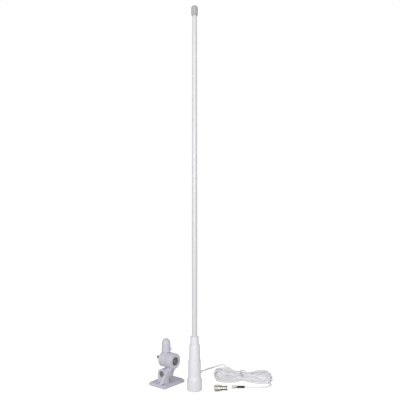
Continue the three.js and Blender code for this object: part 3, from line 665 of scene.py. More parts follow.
# ---------------------------------------------------------------- coaxial cable
def smooth_path(points: Sequence[Sequence[float]], step: float) -> np.ndarray:
    """A centripetal curve through points, with evenly spaced points.

    Args:
        points: The points that it passes through.
        step: The distance between the points of the result.

    Returns:
        The points, one a row.
    """
    given = np.array(points, float)
    ends = np.vstack([2 * given[0] - given[1], given, 2 * given[-1] - given[-2]])
    share = np.linspace(0, 1, 13)[:-1, None]
    spans = []
    for index in range(1, len(ends) - 2):
        a, b, c, d = ends[index - 1:index + 3]
        ab, bc, cd = (max(np.linalg.norm(q - p), 1e-6) ** 0.5 for p, q in ((a, b), (b, c), (c, d)))
        leave = ((b - a) / ab - (c - a) / (ab + bc) + (c - b) / bc) * bc
        arrive = ((c - b) / bc - (d - b) / (bc + cd) + (d - c) / cd) * bc
        square, cube = share**2, share**3
        spans.append(
            (2 * cube - 3 * square + 1) * b + (cube - 2 * square + share) * leave
            + (3 * square - 2 * cube) * c + (cube - square) * arrive
        )
    dense = np.vstack([*spans, given[-1:]])
    reach = np.concatenate([[0], np.cumsum(np.linalg.norm(np.diff(dense, axis=0), axis=1))])
    even = np.linspace(0, reach[-1], max(round(reach[-1] / step), 2) + 1)
    return np.stack([np.interp(even, reach, dense[:, axis]) for axis in range(3)], axis=1)


@dataclass
class Winding:
    """Lets a wound cable settle under its weight until its turns lie beside and on each other."""

    path: np.ndarray
    held: np.ndarray
    diameter: float
    tie_at: tuple[float, float]
    tie_room: tuple[float, float, float]
    rounds: int = 360
    passes: int = 3
    weight: tuple[float, float] = (0.16, 0.05)
    heavy_share: float = 0.55
    search: float = 9.0
    neighbours: int = 5
    look_again: int = 8
    eagerness: float = 1.6
    evening: float = 0.9
    struts: tuple[tuple[int, float], ...] = ((4, 11.75), (9, 24.25))
    rest: np.ndarray = field(init=False)
    free: np.ndarray = field(init=False)

    def __post_init__(self) -> None:
        """Measures the cable as it is laid."""
        self.rest = np.linalg.norm(np.diff(self.path, axis=0), axis=1)
        self.free = np.where(self.held, 0.0, 1.0)

    def _near(self) -> tuple[np.ndarray, np.ndarray]:
        """Pairs of points of different turns that lie close together."""
        place = self.path.astype(np.float32)
        firsts, seconds = [], []
        for start in range(0, len(place), 400):
            apart = ((place[start:start + 400, None] - place[None]) ** 2).sum(2)
            first, second = np.nonzero(apart < self.search**2)
            first = first + start
            ahead = second - first > self.neighbours
            firsts.append(first[ahead])
            seconds.append(second[ahead])
        return np.concatenate(firsts), np.concatenate(seconds)

    def _part(self, firsts: np.ndarray, seconds: np.ndarray) -> None:
        """Pushes turns apart to one diameter."""
        count = len(self.path)
        apart = self.path[seconds] - self.path[firsts]
        distance = np.sqrt((apart**2).sum(1)) + 1e-9
        touching = distance < self.diameter
        i, j, apart, distance = firsts[touching], seconds[touching], apart[touching], distance[touching]
        share = (self.diameter - distance) / distance / np.maximum(self.free[i] + self.free[j], 1)
        push = apart * (0.5 * share)[:, None]
        crowd = np.maximum(np.bincount(i, minlength=count) + np.bincount(j, minlength=count), 1)
        for axis in range(3):
            ahead = np.bincount(j, push[:, axis] * self.free[j], count)
            behind = np.bincount(i, push[:, axis] * self.free[i], count)
            self.path[:, axis] += (ahead - behind) / crowd * self.eagerness

    def _keep_length(self) -> None:
        """Brings each link back to its own length, the even links first."""
        for start in (0, 1):
            first = np.arange(start, len(self.path) - 1, 2)
            self._draw(first, first + 1, self.rest[first], 1.0, np.ones(len(first), bool))

    def _stiffen(self) -> None:
        """Opens bends that are tighter than the cable takes, and evens out the rest."""
        for span, least in self.struts:
            first = np.arange(len(self.path) - span)
            distance = np.linalg.norm(self.path[first + span] - self.path[first], axis=1)
            self._draw(first, first + span, least, 0.5, distance < least)
        p = self.path
        even = np.zeros_like(p)
        even[2:-2] = -(p[:-4] - 4 * p[1:-3] + 6 * p[2:-2] - 4 * p[3:-1] + p[4:]) / 16
        p += self.evening * even * self.free[:, None]

    def _draw(
        self, first: np.ndarray, second: np.ndarray, length: object, strength: float, where: np.ndarray,
    ) -> None:
        """Moves pairs of points towards a length apart.

        Args:
            first: One point of each pair.
            second: The other point.
            length: How far apart they belong.
            strength: The share of the error that is taken out.
            where: Which pairs move.
        """
        apart = self.path[second] - self.path[first]
        distance = np.sqrt((apart**2).sum(1)) + 1e-9
        both = self.free[first] + self.free[second]
        share = np.where(where & (both > 0), strength * (distance - length) / distance, 0)
        share = share / np.maximum(both, 1)
        move = apart * share[:, None]
        self.path[first] += move * self.free[first][:, None]
        self.path[second] -= move * self.free[second][:, None]

    def _bound(self) -> None:
        """Keeps the cable on the floor and its waist inside the tie."""
        loose = ~self.held
        radius = self.diameter / 2
        self.path[loose, 2] = np.maximum(self.path[loose, 2], radius)
        (across, middle), (width, half, top) = self.tie_at, self.tie_room
        waist = loose & (np.abs(self.path[:, 0] - across) < width)
        self.path[waist, 1] = np.clip(self.path[waist, 1], middle - half, middle + half)
        self.path[waist, 2] = np.clip(self.path[waist, 2], radius, top)

    def settle(self) -> None:
        """Runs the whole settling."""
        firsts, seconds = self._near()
        for turn in range(self.rounds):
            heavy = turn < self.heavy_share * self.rounds
            self.path[:, 2] -= self.weight[0 if heavy else 1] * self.free
            if turn % self.look_again == 0:
                firsts, seconds = self._near()
            for _ in range(self.passes):
                self._part(firsts, seconds)
                self._keep_length()
                self._stiffen()
                self._bound()


@dataclass
class CoaxCable:
    """The free cable: its lead to the floor, its tied hank and its tail to the connector."""

    axis: tuple[float, float] = (90.0, -60.0)
    radius: float = 2.5
    exit_height: float = 49.5
    exit_azimuth: float = 50.0
    relief_end: float = 40.0
    straight: float = 4.0
    inside: float = 10.0
    spacing: float = 3.0
    turns: int = 13
    seed: int = 12
    waist: tuple[float, float] = (156.0, 113.0)
    waist_room: tuple[float, float, float] = (7.0, 30.5, 19.0)
    left_lobe: tuple[float, ...] = (66.6, 200.5, 68.5, 30.0)
    right_lobe: tuple[float, ...] = (255.4, 162.5, 54.8, 26.0)
    waist_fill: float = 0.93
    bend: tuple[float, float] = (0.293, 0.707)
    pile_foot: float = 6.0
    layer: float = 3.6
    descent: float = 5.1
    shuffle: float = 0.8
    ragged: float = 12.0
    lead: tuple[tuple[float, float, float], ...] = (
        (31.2, 38, 49.2), (33.6, 45, 47.8), (35.3, 56, 45), (37.6, 70, 41.4), (41.2, 88, 36.8),
        (45.2, 106, 32.4), (49.4, 124, 28), (53.5, 140, 23.9), (56.8, 154, 20.6), (59.7, 165.4, 17.8),
        (63.2, 172.3, 16.4),
    )
    crest: tuple[tuple[float, float, float], ...] = (
        (74, 182, 17.4), (88, 191, 18.4), (103, 194, 18.2),
    )
    last_pass: tuple[tuple[float, float, float], ...] = (
        (156, 128, 2.6), (190, 118, 2.6), (216, 98, 2.6), (232, 74, 2.6),
    )
    tail: tuple[tuple[float, float, float], ...] = (
        (240.2, 54.9, 2.6), (242.3, 51.1, 2.6), (243.9, 44.8, 2.6), (243.2, 37.2, 2.6),
        (239, 29.8, 2.6), (231.6, 23.2, 2.6), (222, 18, 2.6), (208, 14.8, 2.6), (192, 14, 2.7),
        (176, 14, 3.4), (166.2, 14, 4.4), (157.5, 14, 4.7),
    )
    path: np.ndarray = field(init=False, default=None)

    def out(self, reach: float) -> tuple[float, float, float]:
        """A point on the strain relief's axis, this far from the antenna's."""
        turn = math.radians(self.exit_azimuth)
        return reach * math.cos(turn), reach * math.sin(turn), self.exit_height

    def _turn_sizes(self) -> list[dict[str, float]]:
        """Sizes of each turn: they are fanned from the back, on top, to the front."""
        random = np.random.default_rng(self.seed)
        order = np.argsort(
            np.arange(self.turns) + random.uniform(-self.shuffle, self.shuffle, self.turns)
        )
        sizes = []
        for rank in 1 - order / (self.turns - 1):
            size: dict[str, float] = {}
            for side, lobe in (("left", self.left_lobe), ("right", self.right_lobe)):
                end, back, front, round_end = lobe
                half = (back - front) / 2
                near, far = front + half * rank, front + half * (1 + rank) - random.uniform(0, 3)
                size[side] = (far - near) / 2
                size[f"{side}_middle"] = (far + near) / 2
                size[f"{side}_round"] = round_end
                size[f"{side}_end"] = end + math.copysign(
                    random.uniform(0, self.ragged), self.waist[0] - end,
                )
            room = self.waist_room[1] * self.waist_fill
            size["back"], size["front"] = 2 + room * rank, room * (1 - rank) + 2
            sizes.append(size)
        return sizes

    def _laid(self) -> list[tuple[float, float, float]]:
        """Points of the hank as it is wound, each turn under the one before."""
        sizes = self._turn_sizes()
        across, middle = self.waist
        inward, sideways = self.bend
        points = []
        for turn, size in enumerate(sizes):
            following = sizes[min(turn + 1, self.turns - 1)]
            height = self.pile_foot + self.layer * (self.turns - turn)
            lap = [self._left(size, *share) for share in ((inward, sideways), (1, 1))]
            lap.append((across, middle + size["back"]))
            for past, aside in ((1, 1), (inward, sideways), (0, 0), (inward, -sideways), (1, -1)):
                x = size["right_end"] - past * size["right_round"]
                lap.append((x, size["right_middle"] + aside * size["right"]))
            lap.append((across, middle - size["front"]))
            lap += [self._left(following, *share) for share in ((1, -1), (inward, -sideways), (0, 0))]
            drop = np.linspace(0, self.descent, len(lap))
            points += [(x, y, height - fall) for (x, y), fall in zip(lap, drop)][1 if turn == 0 else 0:]
        end = sizes[-1]
        points += [(*self._left(end, inward, sideways), 3.0), (*self._left(end, 1, 1), 2.8)]
        return points

    def _left(self, size: dict[str, float], inward: float, sideways: float) -> tuple[float, float]:
        """A point on the left end of a turn."""
        x = size["left_end"] + inward * size["left_round"]
        return x, size["left_middle"] + sideways * size["left"]

    def wind(self) -> None:
        """Lays the whole cable and lets its hank settle."""
        start = [self.out(self.relief_end - self.inside), self.out(self.relief_end)]
        start += [self.out(self.relief_end + self.straight), *self.lead, *self.crest]
        lead = smooth_path(start, self.spacing)
        tail = smooth_path(self.tail, self.spacing)
        hank = smooth_path(
            [*self.crest[-2:], *self._laid()[2:], *self.last_pass, *self.tail[:2]], self.spacing,
        )
        first = 1 + int(np.linalg.norm(hank[:20] - lead[-1], axis=1).argmin())
        last = len(hank) - 20 + int(np.linalg.norm(hank[-20:] - tail[0], axis=1).argmin())
        whole = np.vstack([lead, hank[first:last], tail])
        held = np.zeros(len(whole), bool)
        held[:len(lead) - 1] = True
        held[len(whole) - len(tail) + 1:] = True
        winding = Winding(whole, held, 2 * self.radius + 0.05, self.waist, self.waist_room)
        winding.settle()
        self.path = (winding.path + np.array([*self.axis, 0.0])) * MM

    def build(self, finishes: dict[str, bpy.types.Material]) -> bpy.types.Object:
        """Makes the cable as one tube.

        Args:
            finishes: The materials by slot.

        Returns:
            The cable.
        """
        self.wind()
        cable = tube("coax_cable", self.path, self.radius * MM, finishes["white_jacket"])
        sharpen(cable, 60)
        return dress(
            cable, finishes, "root", "white_jacket", "coax_lead", "coax_hank", "coax_tail",
        )

    def length(self) -> float:
        """The cable's length in metres."""
        return float(np.linalg.norm(np.diff(self.path, axis=0), axis=1).sum())

    def declare(self) -> None:
        """Works out the cable's diameter in metres and leaves it unused.
        """
        2 * self.radius * MM


@dataclass
class TwistTie:
    """A plastic-coated wire tie: a flat band round the hank's waist and its twisted ends."""

    width: float = 5.0
    thickness: float = 0.8
    wire: float = 0.55
    twist_length: float = 14.0
    twist_radius: float = 1.1
    twist_turns: float = 4.0
    search: float = 45.0

    def _hull(self, points: np.ndarray) -> np.ndarray:
        """The convex outline of points in a plane."""
        ordered = sorted({(round(x, 5), round(y, 5)) for x, y in points})
        halves = []
        for run in (ordered, ordered[::-1]):
            chain: list[tuple[float, float]] = []
            for point in run:
                while len(chain) > 1 and self._turns_right(chain[-2], chain[-1], point):
                    chain.pop()
                chain.append(point)
            halves += chain[:-1]
        return np.array(halves)

    @staticmethod
    def _turns_right(a: tuple[float, float], b: tuple[float, float], c: tuple[float, float]) -> bool:
        """Whether a path through three points turns right."""
        return (b[0] - a[0]) * (c[1] - a[1]) - (b[1] - a[1]) * (c[0] - a[0]) <= 0

    def build(self, cable: CoaxCable, finishes: dict[str, bpy.types.Material]) -> list[bpy.types.Object]:
        """Ties the cable's hank.

        Args:
            cable: The wound cable.
            finishes: The materials by slot.

        Returns:
            The band and its twist.
        """
        path = cable.path / MM - np.array([*cable.axis, 0.0])
        across = cable.waist[0]
        beside = np.abs(path[:, 0] - across) < self.width
        near = path[beside & (path[:, 1] > cable.waist[1] - self.search)][:, 1:]
        around = np.linspace(0, 2 * math.pi, 25)[:-1]
        reach = cable.radius + 0.15
        rim = np.stack([np.cos(around), np.sin(around)], axis=1) * reach
        hull = self._hull((near[:, None] + rim[None]).reshape(-1, 2))
        hull[:, 1] = np.maximum(hull[:, 1], 0.9)
        inner = self._spaced(hull, 120)
        middle = inner.mean(axis=0)
        ahead = np.roll(inner, -1, axis=0) - np.roll(inner, 1, axis=0)
        normal = np.stack([ahead[:, 1], -ahead[:, 0]], axis=1)
        normal /= np.linalg.norm(normal, axis=1)[:, None]
        normal *= np.sign(((inner - middle) * normal).sum(1))[:, None]
        place = Matrix.Translation((*cable.axis, 0))
        band = Solid()
        half = self.width / 2
        profile = [
            (-half, 0.0), (-half, 0.35), (-0.9, 0.35), (-0.5, self.thickness), (0.5, self.thickness),
        ]
        profile += [(0.9, 0.35), (half, 0.35), (half, 0.0)]
        rows = []
        for point, out in zip(inner, normal):
            rows.append([
                band.mesh.verts.new((across + side, *(point + out * rise))) for side, rise in profile
            ])
        for row, after in zip(rows, rows[1:] + rows[:1]):
            for index in range(len(profile)):
                other = (index + 1) % len(profile)
                band.mesh.faces.new((row[index], row[other], after[other], after[index]))
        bmesh.ops.recalc_face_normals(band.mesh, faces=band.mesh.faces)
        strap = band.piece("twist_tie_band", place, bevel=0.1)
        dress(strap, finishes, "root", "white_tie", "hank_tie")
        top = inner[inner[:, 1].argmax()]
        return [strap, self._twist(np.array([across, *top]), cable, finishes)]

    def _spaced(self, outline: np.ndarray, count: int) -> np.ndarray:
        """Even points around a closed outline."""
        closed = np.vstack([outline, outline[:1]])
        reach = np.concatenate([[0], np.cumsum(np.linalg.norm(np.diff(closed, axis=0), axis=1))])
        even = np.linspace(0, reach[-1], count + 1)[:-1]
        return np.stack([np.interp(even, reach, closed[:, axis]) for axis in (0, 1)], axis=1)

    def _twist(
        self, foot: np.ndarray, cable: CoaxCable, finishes: dict[str, bpy.types.Material],
    ) -> bpy.types.Object:
        """The two ends of the tie, twisted round each other and bent flat over the cable."""
        share = np.linspace(0, 1, 90)
        angle = 2 * math.pi * self.twist_turns * share
        rise = 1.6 + 1.1 * np.sin(math.pi * np.minimum(share * 1.4, 1))
        strands = []
        for phase in (0.0, math.pi):
            spread = self.twist_radius * (1 + 1.6 * np.maximum(share - 0.8, 0) / 0.2)
            x = foot[0] + share * self.twist_length
            y = foot[1] + spread * np.cos(angle + phase) - 5 * share**2
            z = foot[2] + rise + self.twist_radius * np.sin(angle + phase)
            line = np.stack([x, y, z], axis=1) + np.array([*cable.axis, 0.0])
            strand = tube(
                f"tie_end_{len(strands)}", line * MM, self.wire * MM * 1.5, finishes["white_tie"], 8,
            )
            strands.append(strand)
        ends = merge(*strands)
        ends.name = "twist_tie_ends"
        return dress(ends, finishes, "root", "white_tie")


# ---------------------------------------------------------------- shapes that repeat
def dome(radius: float, rise: float, base: float, steps: int = 16) -> Outline:
    """Outline points of a rounded end, from its rim to the axis."""
    turns = [math.pi * step / (2 * steps) for step in range(steps)]
    return [(radius * math.cos(t), base + rise * math.sin(t)) for t in turns] + [(0.0, base + rise)]


def rod(radius: float, start: float, end: float) -> Outline:
    """Outline of a plain bar."""
    return [(0.0, start), (radius, start), (radius, end), (0.0, end)]


def around(cutter: bpy.types.Object, count: int, material: bpy.types.Material) -> bpy.types.Object:
    """Repeats a piece evenly about +Z.

    Args:
        cutter: The piece to repeat.
        count: How many there are.
        material: The finish of the copies.

    Returns:
        The same object, holding all copies.
    """
    tree = Repeater("around axis", {"Count": count, "Step": 2 * math.pi / count}, material)
    settings = {"mode": "OFFSET", "count_mode": "TOTAL"}
    offset = {"Count": tree.given("Count"), "Offset": (0.0, 0.0, 0.0)}
    spots = tree.node("GeometryNodeMeshLine", settings, offset)
    turn = tree.node("GeometryNodeInputIndex") * tree.given("Step")
    angles = tree.node("ShaderNodeCombineXYZ", inputs={"Z": turn})
    inputs = {"Points": spots, "Instance": tree.given("Geometry"), "Rotation": angles}
    tree.close(tree.node("GeometryNodeInstanceOnPoints", inputs=inputs))
    return tree.run(cutter)


@dataclass
class Helix:
    """A wire or thread ridge wound about +Z."""

    name: str
    radius: float
    pitch: float
    start: float
    end: float
    wire: float
    sides: int = 4
    resolution: int = 40

    def build(self, material: bpy.types.Material, place: Matrix) -> bpy.types.Object:
        """Winds it.

        Args:
            material: Its finish.
            place: From its own frame to the whole object's, in millimetres.

        Returns:
            The piece.
        """
        sizes = {
            "Turns": (self.end - self.start) / self.pitch, "Radius": self.radius * MM,
            "Height": (self.end - self.start) * MM, "Wire": self.wire * MM, "Start": self.start * MM,
        }
        tree = Repeater(f"{self.name} helix", sizes, material)
        spiral = tree.node("GeometryNodeCurveSpiral", inputs={
            "Resolution": self.resolution, "Rotations": tree.given("Turns"),
            "Height": tree.given("Height"),
            "Start Radius": tree.given("Radius"), "End Radius": tree.given("Radius"),
        })
        shift = tree.node("ShaderNodeCombineXYZ", inputs={"Z": tree.given("Start")})
        placed = tree.node("GeometryNodeTransform", inputs={"Geometry": spiral, "Translation": shift})
        section = tree.node(
            "GeometryNodeCurvePrimitiveCircle",
            inputs={"Resolution": self.sides, "Radius": tree.given("Wire")},
        )
        tree.close(
            tree.node("GeometryNodeCurveToMesh", inputs={0: placed, 1: section, "Fill Caps": True})
        )
        made = tree.run(polyline(self.name, np.zeros((2, 3))))
        turn = place.copy()
        turn.translation = place.translation * MM
        made.data.transform(turn)
        return sharpen(made, 40)


def merge(first: bpy.types.Object, *others: bpy.types.Object) -> bpy.types.Object:
    """Puts the meshes of several pieces in the first one."""
    whole = bmesh.new()
    for piece in (first, *others):
        whole.from_mesh(piece.data)
    whole.to_mesh(first.data)
    whole.free()
    for piece in others:
        bpy.data.objects.remove(piece, do_unlink=True)
    return first


# ---------------------------------------------------------------- whip antenna
@dataclass
class WhipAntenna:
    """The whip, its tip, its stepped ferrule and the scalloped collar at its foot."""

    axis: tuple[float, float] = (90.0, -60.0)
    height: float = 1200.0
    gap: float = 0.3
    bottom_radius: float = 8.75
    top_radius: float = 7.5
    wall: float = 2.0
    foot: float = 107.3
    end: float = 1186.0
    tip_height: float = 32.0
    tip_radius: float = 10.25
    tip_flare: float = 4.9
    tip_crown: float = 8.0
    collar_height: float = 33.0
    collar_radius: float = 23.5
    collar_edge: float = 1.4
    collar_foot: float = 3.5
    grips: int = 16
    grip_radius: float = 2.6
    grip_depth: float = 1.1
    thread_bore: float = 13.1
    socket_depth: float = 20.0
    spigot_radius: float = 16.3
    groove: tuple[float, float, float] = (25.0, 27.6, 1.7)
    spigot_bottom: float = 22.4
    stages: tuple[tuple[float, float, float, float], ...] = (
        (44.0, 92.0, 19.9, 19.7), (92.0, 142.0, 18.0, 16.45), (142.0, 167.0, 13.2, 13.1),
    )
    chamber: tuple[float, float] = (8.0, 36.0)
    relief_bore: float = 2.8
    relief_radius: float = 4.3
    relief_flange: tuple[float, float] = (5.5, 2.0)
    relief_tip: float = 3.5
    relief_span: tuple[float, float] = (12.5, 40.0)
    coil_radius: float = 5.4
    coil_span: tuple[float, float] = (126.9, 200.9)

    def place(self) -> Matrix:
        """From the antenna's axis to the whole object's frame."""
        return Matrix.Translation((*self.axis, 0))

    def whip_radius(self, height: float) -> float:
        """The whip's radius at a height."""
        share = (height - self.foot) / (self.end - self.foot)
        return self.bottom_radius + (self.top_radius - self.bottom_radius) * share

    def tip_cap(self) -> bpy.types.Object:
        """The moulded cap on the whip's end, with its softly flared mouth."""
        mouth = self.height - self.tip_height
        socket = self.whip_radius(mouth) + self.gap
        roof = self.end + self.gap
        shoulder = self.height - self.tip_crown
        side = [
            (0.0, roof), (socket, roof), (socket, mouth + 0.3), (socket + 0.3, mouth),
            (socket + 0.8, mouth),
            (socket + 1.25, mouth + 0.5), (self.tip_radius - 0.5, mouth + self.tip_flare - 1.2),
            (self.tip_radius - 0.08, mouth + self.tip_flare),
            (self.tip_radius, mouth + self.tip_flare + 2),
        ]
        outline = side + dome(self.tip_radius, self.tip_crown, shoulder)
        return Solid().revolve(outline).piece("tip_cap_shell", self.place(), angle=40)

    def radome(self) -> bpy.types.Object:
        """The tapered glass-fibre tube."""
        steps = [self.foot + (self.end - self.foot) * share / 12 for share in range(13)]
        outer = [(self.whip_radius(height), height) for height in steps]
        inner = [(self.whip_radius(height) - self.wall, height) for height in reversed(steps)]
        return Solid().revolve(inner + outer, 96, closed=True).piece("radome_tube", self.place())

    def ferrule(self) -> bpy.types.Object:
        """The stepped ferrule, its spigot and the cable's hole in its side."""
        flare_from = self.collar_height + self.gap
        first = self.stages[0]
        drop = self.collar_radius - self.collar_edge / 2 - first[2]
        shares = [step / 14 for step in range(14)]
        flare = [
            (first[2] + drop * (1 + math.cos(math.pi * s)) / 2, flare_from + (first[0] - flare_from) * s)
            for s in shares
        ]
        sides: Outline = []
        for start, end, lower, upper in self.stages:
            sides += [(lower, start), (upper, end - 0.8), (upper - 0.12, end - 0.35)]
            sides += [(upper - 0.35, end - 0.12), (upper - 0.8, end)]
        (groove_from, groove_to, bite) = self.groove
        socket = self.bottom_radius + self.gap
        top = self.stages[-1][1]
        bore, floor = self.chamber
        outline = [
            (0.0, self.spigot_bottom), (self.spigot_radius, self.spigot_bottom),
            (self.spigot_radius, groove_from), (self.spigot_radius - bite, groove_from),
            (self.spigot_radius - bite, groove_to), (self.spigot_radius, groove_to),
            (self.spigot_radius, flare_from), *flare, *sides, (socket + 0.35, top), (socket, top - 0.35),
            (socket, self.foot - self.gap), (bore, self.foot - self.gap), (bore, floor), (0.0, floor),
        ]
        body = Solid().revolve(outline, 112).piece("ferrule_shell", self.place(), angle=30)
        drill = Solid().revolve(
            rod(self.relief_radius + self.gap, bore / 2, self.collar_radius), 40, self.out_of_side(),
        ).piece("drill", self.place())
        carve(body, [drill])
        return sharpen(body, 30)

    def out_of_side(self) -> Matrix:
        """Turns a piece built along +Z to run out where the cable leaves the ferrule."""
        exit_way = CoaxCable()
        azimuth = Matrix.Rotation(math.radians(exit_way.exit_azimuth), 4, "Z")
        return Matrix.Translation((0, 0, exit_way.exit_height)) @ azimuth @ TURNS[Side.RIGHT]

    def collar(self, material: bpy.types.Material) -> bpy.types.Object:
        """The swivel collar with its finger grips and its threaded socket."""
        (groove_from, groove_to, bite) = self.groove
        bore = self.spigot_radius + self.gap
        outline = [
            (self.thread_bore, 0.8), (self.thread_bore + 0.8, 0.0),
            (self.collar_radius - self.collar_edge, 0.0),
            (self.collar_radius - 0.4, 1.5), (self.collar_radius, self.collar_foot),
            (self.collar_radius, self.collar_height - self.collar_edge),
            (self.collar_radius - 0.12, self.collar_height - 0.7),
            (self.collar_radius - 0.3, self.collar_height - 0.3),
            (self.collar_radius - self.collar_edge / 2, self.collar_height),
            (bore, self.collar_height), (bore, groove_to), (bore + bite, groove_to),
            (bore + bite, groove_from), (bore, groove_from), (bore, self.socket_depth),
            (self.thread_bore, self.socket_depth),
        ]
        body = Solid().revolve(outline, 128, closed=True).piece("collar_shell", self.place(), angle=30)
        top = self.collar_height - 2 * self.collar_edge
        scoop = [(0.0, -1.0), (self.grip_radius, -1.0), (self.grip_radius, top - 2)]
        scoop += [(self.grip_radius * 0.87, top - 0.8), (self.grip_radius * 0.5, top - 0.15), (0.0, top)]
        aside = Matrix.Translation((self.collar_radius + self.grip_radius - self.grip_depth, 0, 0))
        cutter = Solid().revolve(scoop, 28, aside).piece("grips", Matrix.Identity(4))
        around(cutter, self.grips, material)
        cutter.data.transform(Matrix.Translation((self.axis[0] * MM, self.axis[1] * MM, 0)))
        carve(body, [cutter])
        sharpen(body, 34)
        thread = Helix(
            "socket_thread", self.thread_bore + 0.1, STUD_PITCH, 1.4, self.socket_depth - 1.2, 0.45,
        )
        return merge(body, thread.build(material, self.place()))

    def strain_relief(self) -> bpy.types.Object:
        """The ribbed boot that keeps the cable from kinking at the ferrule."""
        inner, outer = self.relief_span
        flange_radius, flange_height = self.relief_flange
        seat = self.stages[0][2] + self.gap
        start = seat + flange_height + 1
        ribs = 5
        pitch = (outer - start - 1.2) / ribs
        profile = [
            (self.relief_bore, inner), (self.relief_radius, inner), (self.relief_radius, seat),
            (flange_radius - 0.3, seat), (flange_radius, seat + 0.4),
            (flange_radius, seat + flange_height - 0.5),
            (flange_radius - 0.5, seat + flange_height), (self.relief_radius, start),
        ]
        for rib in range(ribs):
            base = start + pitch * (rib + 0.35)
            share = (base - start) / (outer - start)
            radius = self.relief_radius + (self.relief_tip - self.relief_radius) * share
            profile += [(radius, base), (radius - 0.45, base + 0.3), (radius - 0.45, base + pitch * 0.4)]
            profile += [(radius, base + pitch * 0.4 + 0.3)]
        profile += [
            (self.relief_tip, outer - 0.4), (self.relief_tip - 0.3, outer), (self.relief_bore, outer),
        ]
        made = Solid().revolve(profile, 40, self.out_of_side(), closed=True, edge=0.12)
        return made.piece("relief_boot", self.place(), angle=34)

    def inner_coax(self, finishes: dict[str, bpy.types.Material]) -> bpy.types.Object:
        """The cable inside the ferrule, from the crimp down and out through the boot."""
        bend, reach = 12.0, CoaxCable().exit_height
        turns = [math.pi * step / 16 for step in range(9)]
        line = [(0.0, 0.0, 121.6), (0.0, 0.0, 100.0), (0.0, 0.0, 80.0), (0.0, 0.0, reach + bend + 3)]
        line += [(bend * (1 - math.cos(t)), 0.0, reach + bend - bend * math.sin(t)) for t in turns]
        line += [(15.5, 0.0, reach), (25.0, 0.0, reach), (self.relief_span[1] - 10.5, 0.0, reach)]
        path = smooth_path(line, 1.0)
        turn = np.array(Matrix.Rotation(math.radians(CoaxCable().exit_azimuth), 3, "Z"))
        place = path @ turn.T + np.array([*self.axis, 0.0])
        return tube("feed_coax", place * MM, CoaxCable().radius * MM, finishes["white_jacket"])

    def build(self, finishes: dict[str, bpy.types.Material]) -> list[bpy.types.Object]:
        """Builds and dresses the antenna.

        Args:
            finishes: The materials by slot.

        Returns:
            Its pieces.
        """
        coil = Helix(
            "coil_winding", self.coil_radius, 1.15, *self.coil_span, 0.48, sides=6, resolution=22,
        )
        winding = coil.build(finishes["copper"], self.place())
        return [
            dress(self.tip_cap(), finishes, "root", "white_cap", "tip_cap"),
            dress(self.radome(), finishes, "root", "white_radome", "whip_radome"),
            dress(self.ferrule(), finishes, "root", "white_nylon", "ferrule_body"),
            dress(
                self.collar(finishes["white_nylon"]), finishes, "collar", "white_nylon", "swivel_collar",
            ),
            dress(self.strain_relief(), finishes, "root", "white_jacket", "strain_relief"),
            dress(self.inner_coax(finishes), finishes, "root", "white_jacket", "inner_coax"),
            dress(winding, finishes, "root", "copper", "matching_coil"),
        ]


# ---------------------------------------------------------------- ratchet mount
def moved(piece: bpy.types.Object, turn: Matrix) -> bpy.types.Object:
    """Places a piece's mesh, with the shift given in millimetres."""
    metric = turn.copy()
    metric.translation = turn.translation * MM
    piece.data.transform(metric)
    return piece


def rounded_rectangle(width: float, length: float, corner: float, steps: int = 8) -> Outline:
    """Outline of a rectangle with round corners, about the origin."""
    outline: Outline = []
    for quarter, (x, y) in enumerate(((1, 1), (-1, 1), (-1, -1), (1, -1))):
        centre = (x * (width / 2 - corner), y * (length / 2 - corner))
        for step in range(steps + 1):
            turn = math.pi / 2 * (quarter + step / steps)
            outline.append((centre[0] + corner * math.cos(turn), centre[1] + corner * math.sin(turn)))
    return outline


@dataclass
class Clamp:
    """A hexagon bolt, its nut and the floors that they bear on, along one pivot."""

    name: str
    head_floor: float
    nut_floor: float
    spare: float
    turn: Matrix
    body: str
    nut_body: str
    radius: float = 5.0
    pitch: float = 1.5
    ridge: float = 0.45
    corner: float = 8.7
    head: float = 6.4
    nut: float = 8.0
    washer: float = 1.6
    gap: float = 0.3

    def _hexagon(self, start: float, end: float, both: bool) -> Outline:
        """Side of a hexagon whose corners are turned off at its free ends."""
        flat, drop = self.corner - 1.0, 0.7
        top = [(self.corner, end - drop), (flat, end)] if both else [(self.corner, end)]
        return [(0.0, start), (flat, start), (self.corner, start + drop), *top, (0.0, end)]

    def build(self, finishes: dict[str, bpy.types.Material]) -> list[bpy.types.Object]:
        """Builds the bolt and the nut.

        Args:
            finishes: The materials by slot.

        Returns:
            Both pieces.
        """
        head_top = self.head_floor - self.washer - 2 * self.gap
        nut_from = self.nut_floor + self.washer + 2 * self.gap
        nut_to = nut_from + self.nut
        tip = nut_to + self.spare
        thread_from = nut_from - 2
        root = self.radius - self.ridge
        bolt = Solid().revolve(self._hexagon(head_top - self.head, head_top, False), 6)
        shank = [(0.0, head_top - 1), (self.radius, head_top - 1), (self.radius, thread_from)]
        shank += [(root, thread_from + 0.5), (root, tip - 0.8), (root - 0.8, tip), (0.0, tip)]
        bolt.revolve(shank, 48)
        made = bolt.piece(f"{self.name}_hex_bolt", self.turn, angle=28)
        thread = Helix(
            f"{self.name}_thread", root + 0.02, self.pitch, thread_from + 1, tip - 1.2,
            self.ridge - 0.02,
        )
        merge(made, thread.build(finishes["black_steel"], self.turn))
        nut = Solid().revolve(self._hexagon(nut_from, nut_to, True), 6).piece(
            f"{self.name}_hex_nut", self.turn,
        )
        bore = self.radius + self.gap
        hole = [(0.0, nut_from - 1), (bore + 1.6, nut_from - 1), (bore, nut_from + 0.6)]
        hole += [(bore, nut_to - 0.6), (bore + 1.6, nut_to + 1), (0.0, nut_to + 1)]
        carve(nut, [Solid().revolve(hole, 48).piece("hole", self.turn)])
        sharpen(nut, 28)
        return [
            dress(made, finishes, self.body, "black_steel", f"{self.name}_bolt"),
            dress(nut, finishes, self.nut_body, "black_steel", f"{self.name}_nut"),
        ]


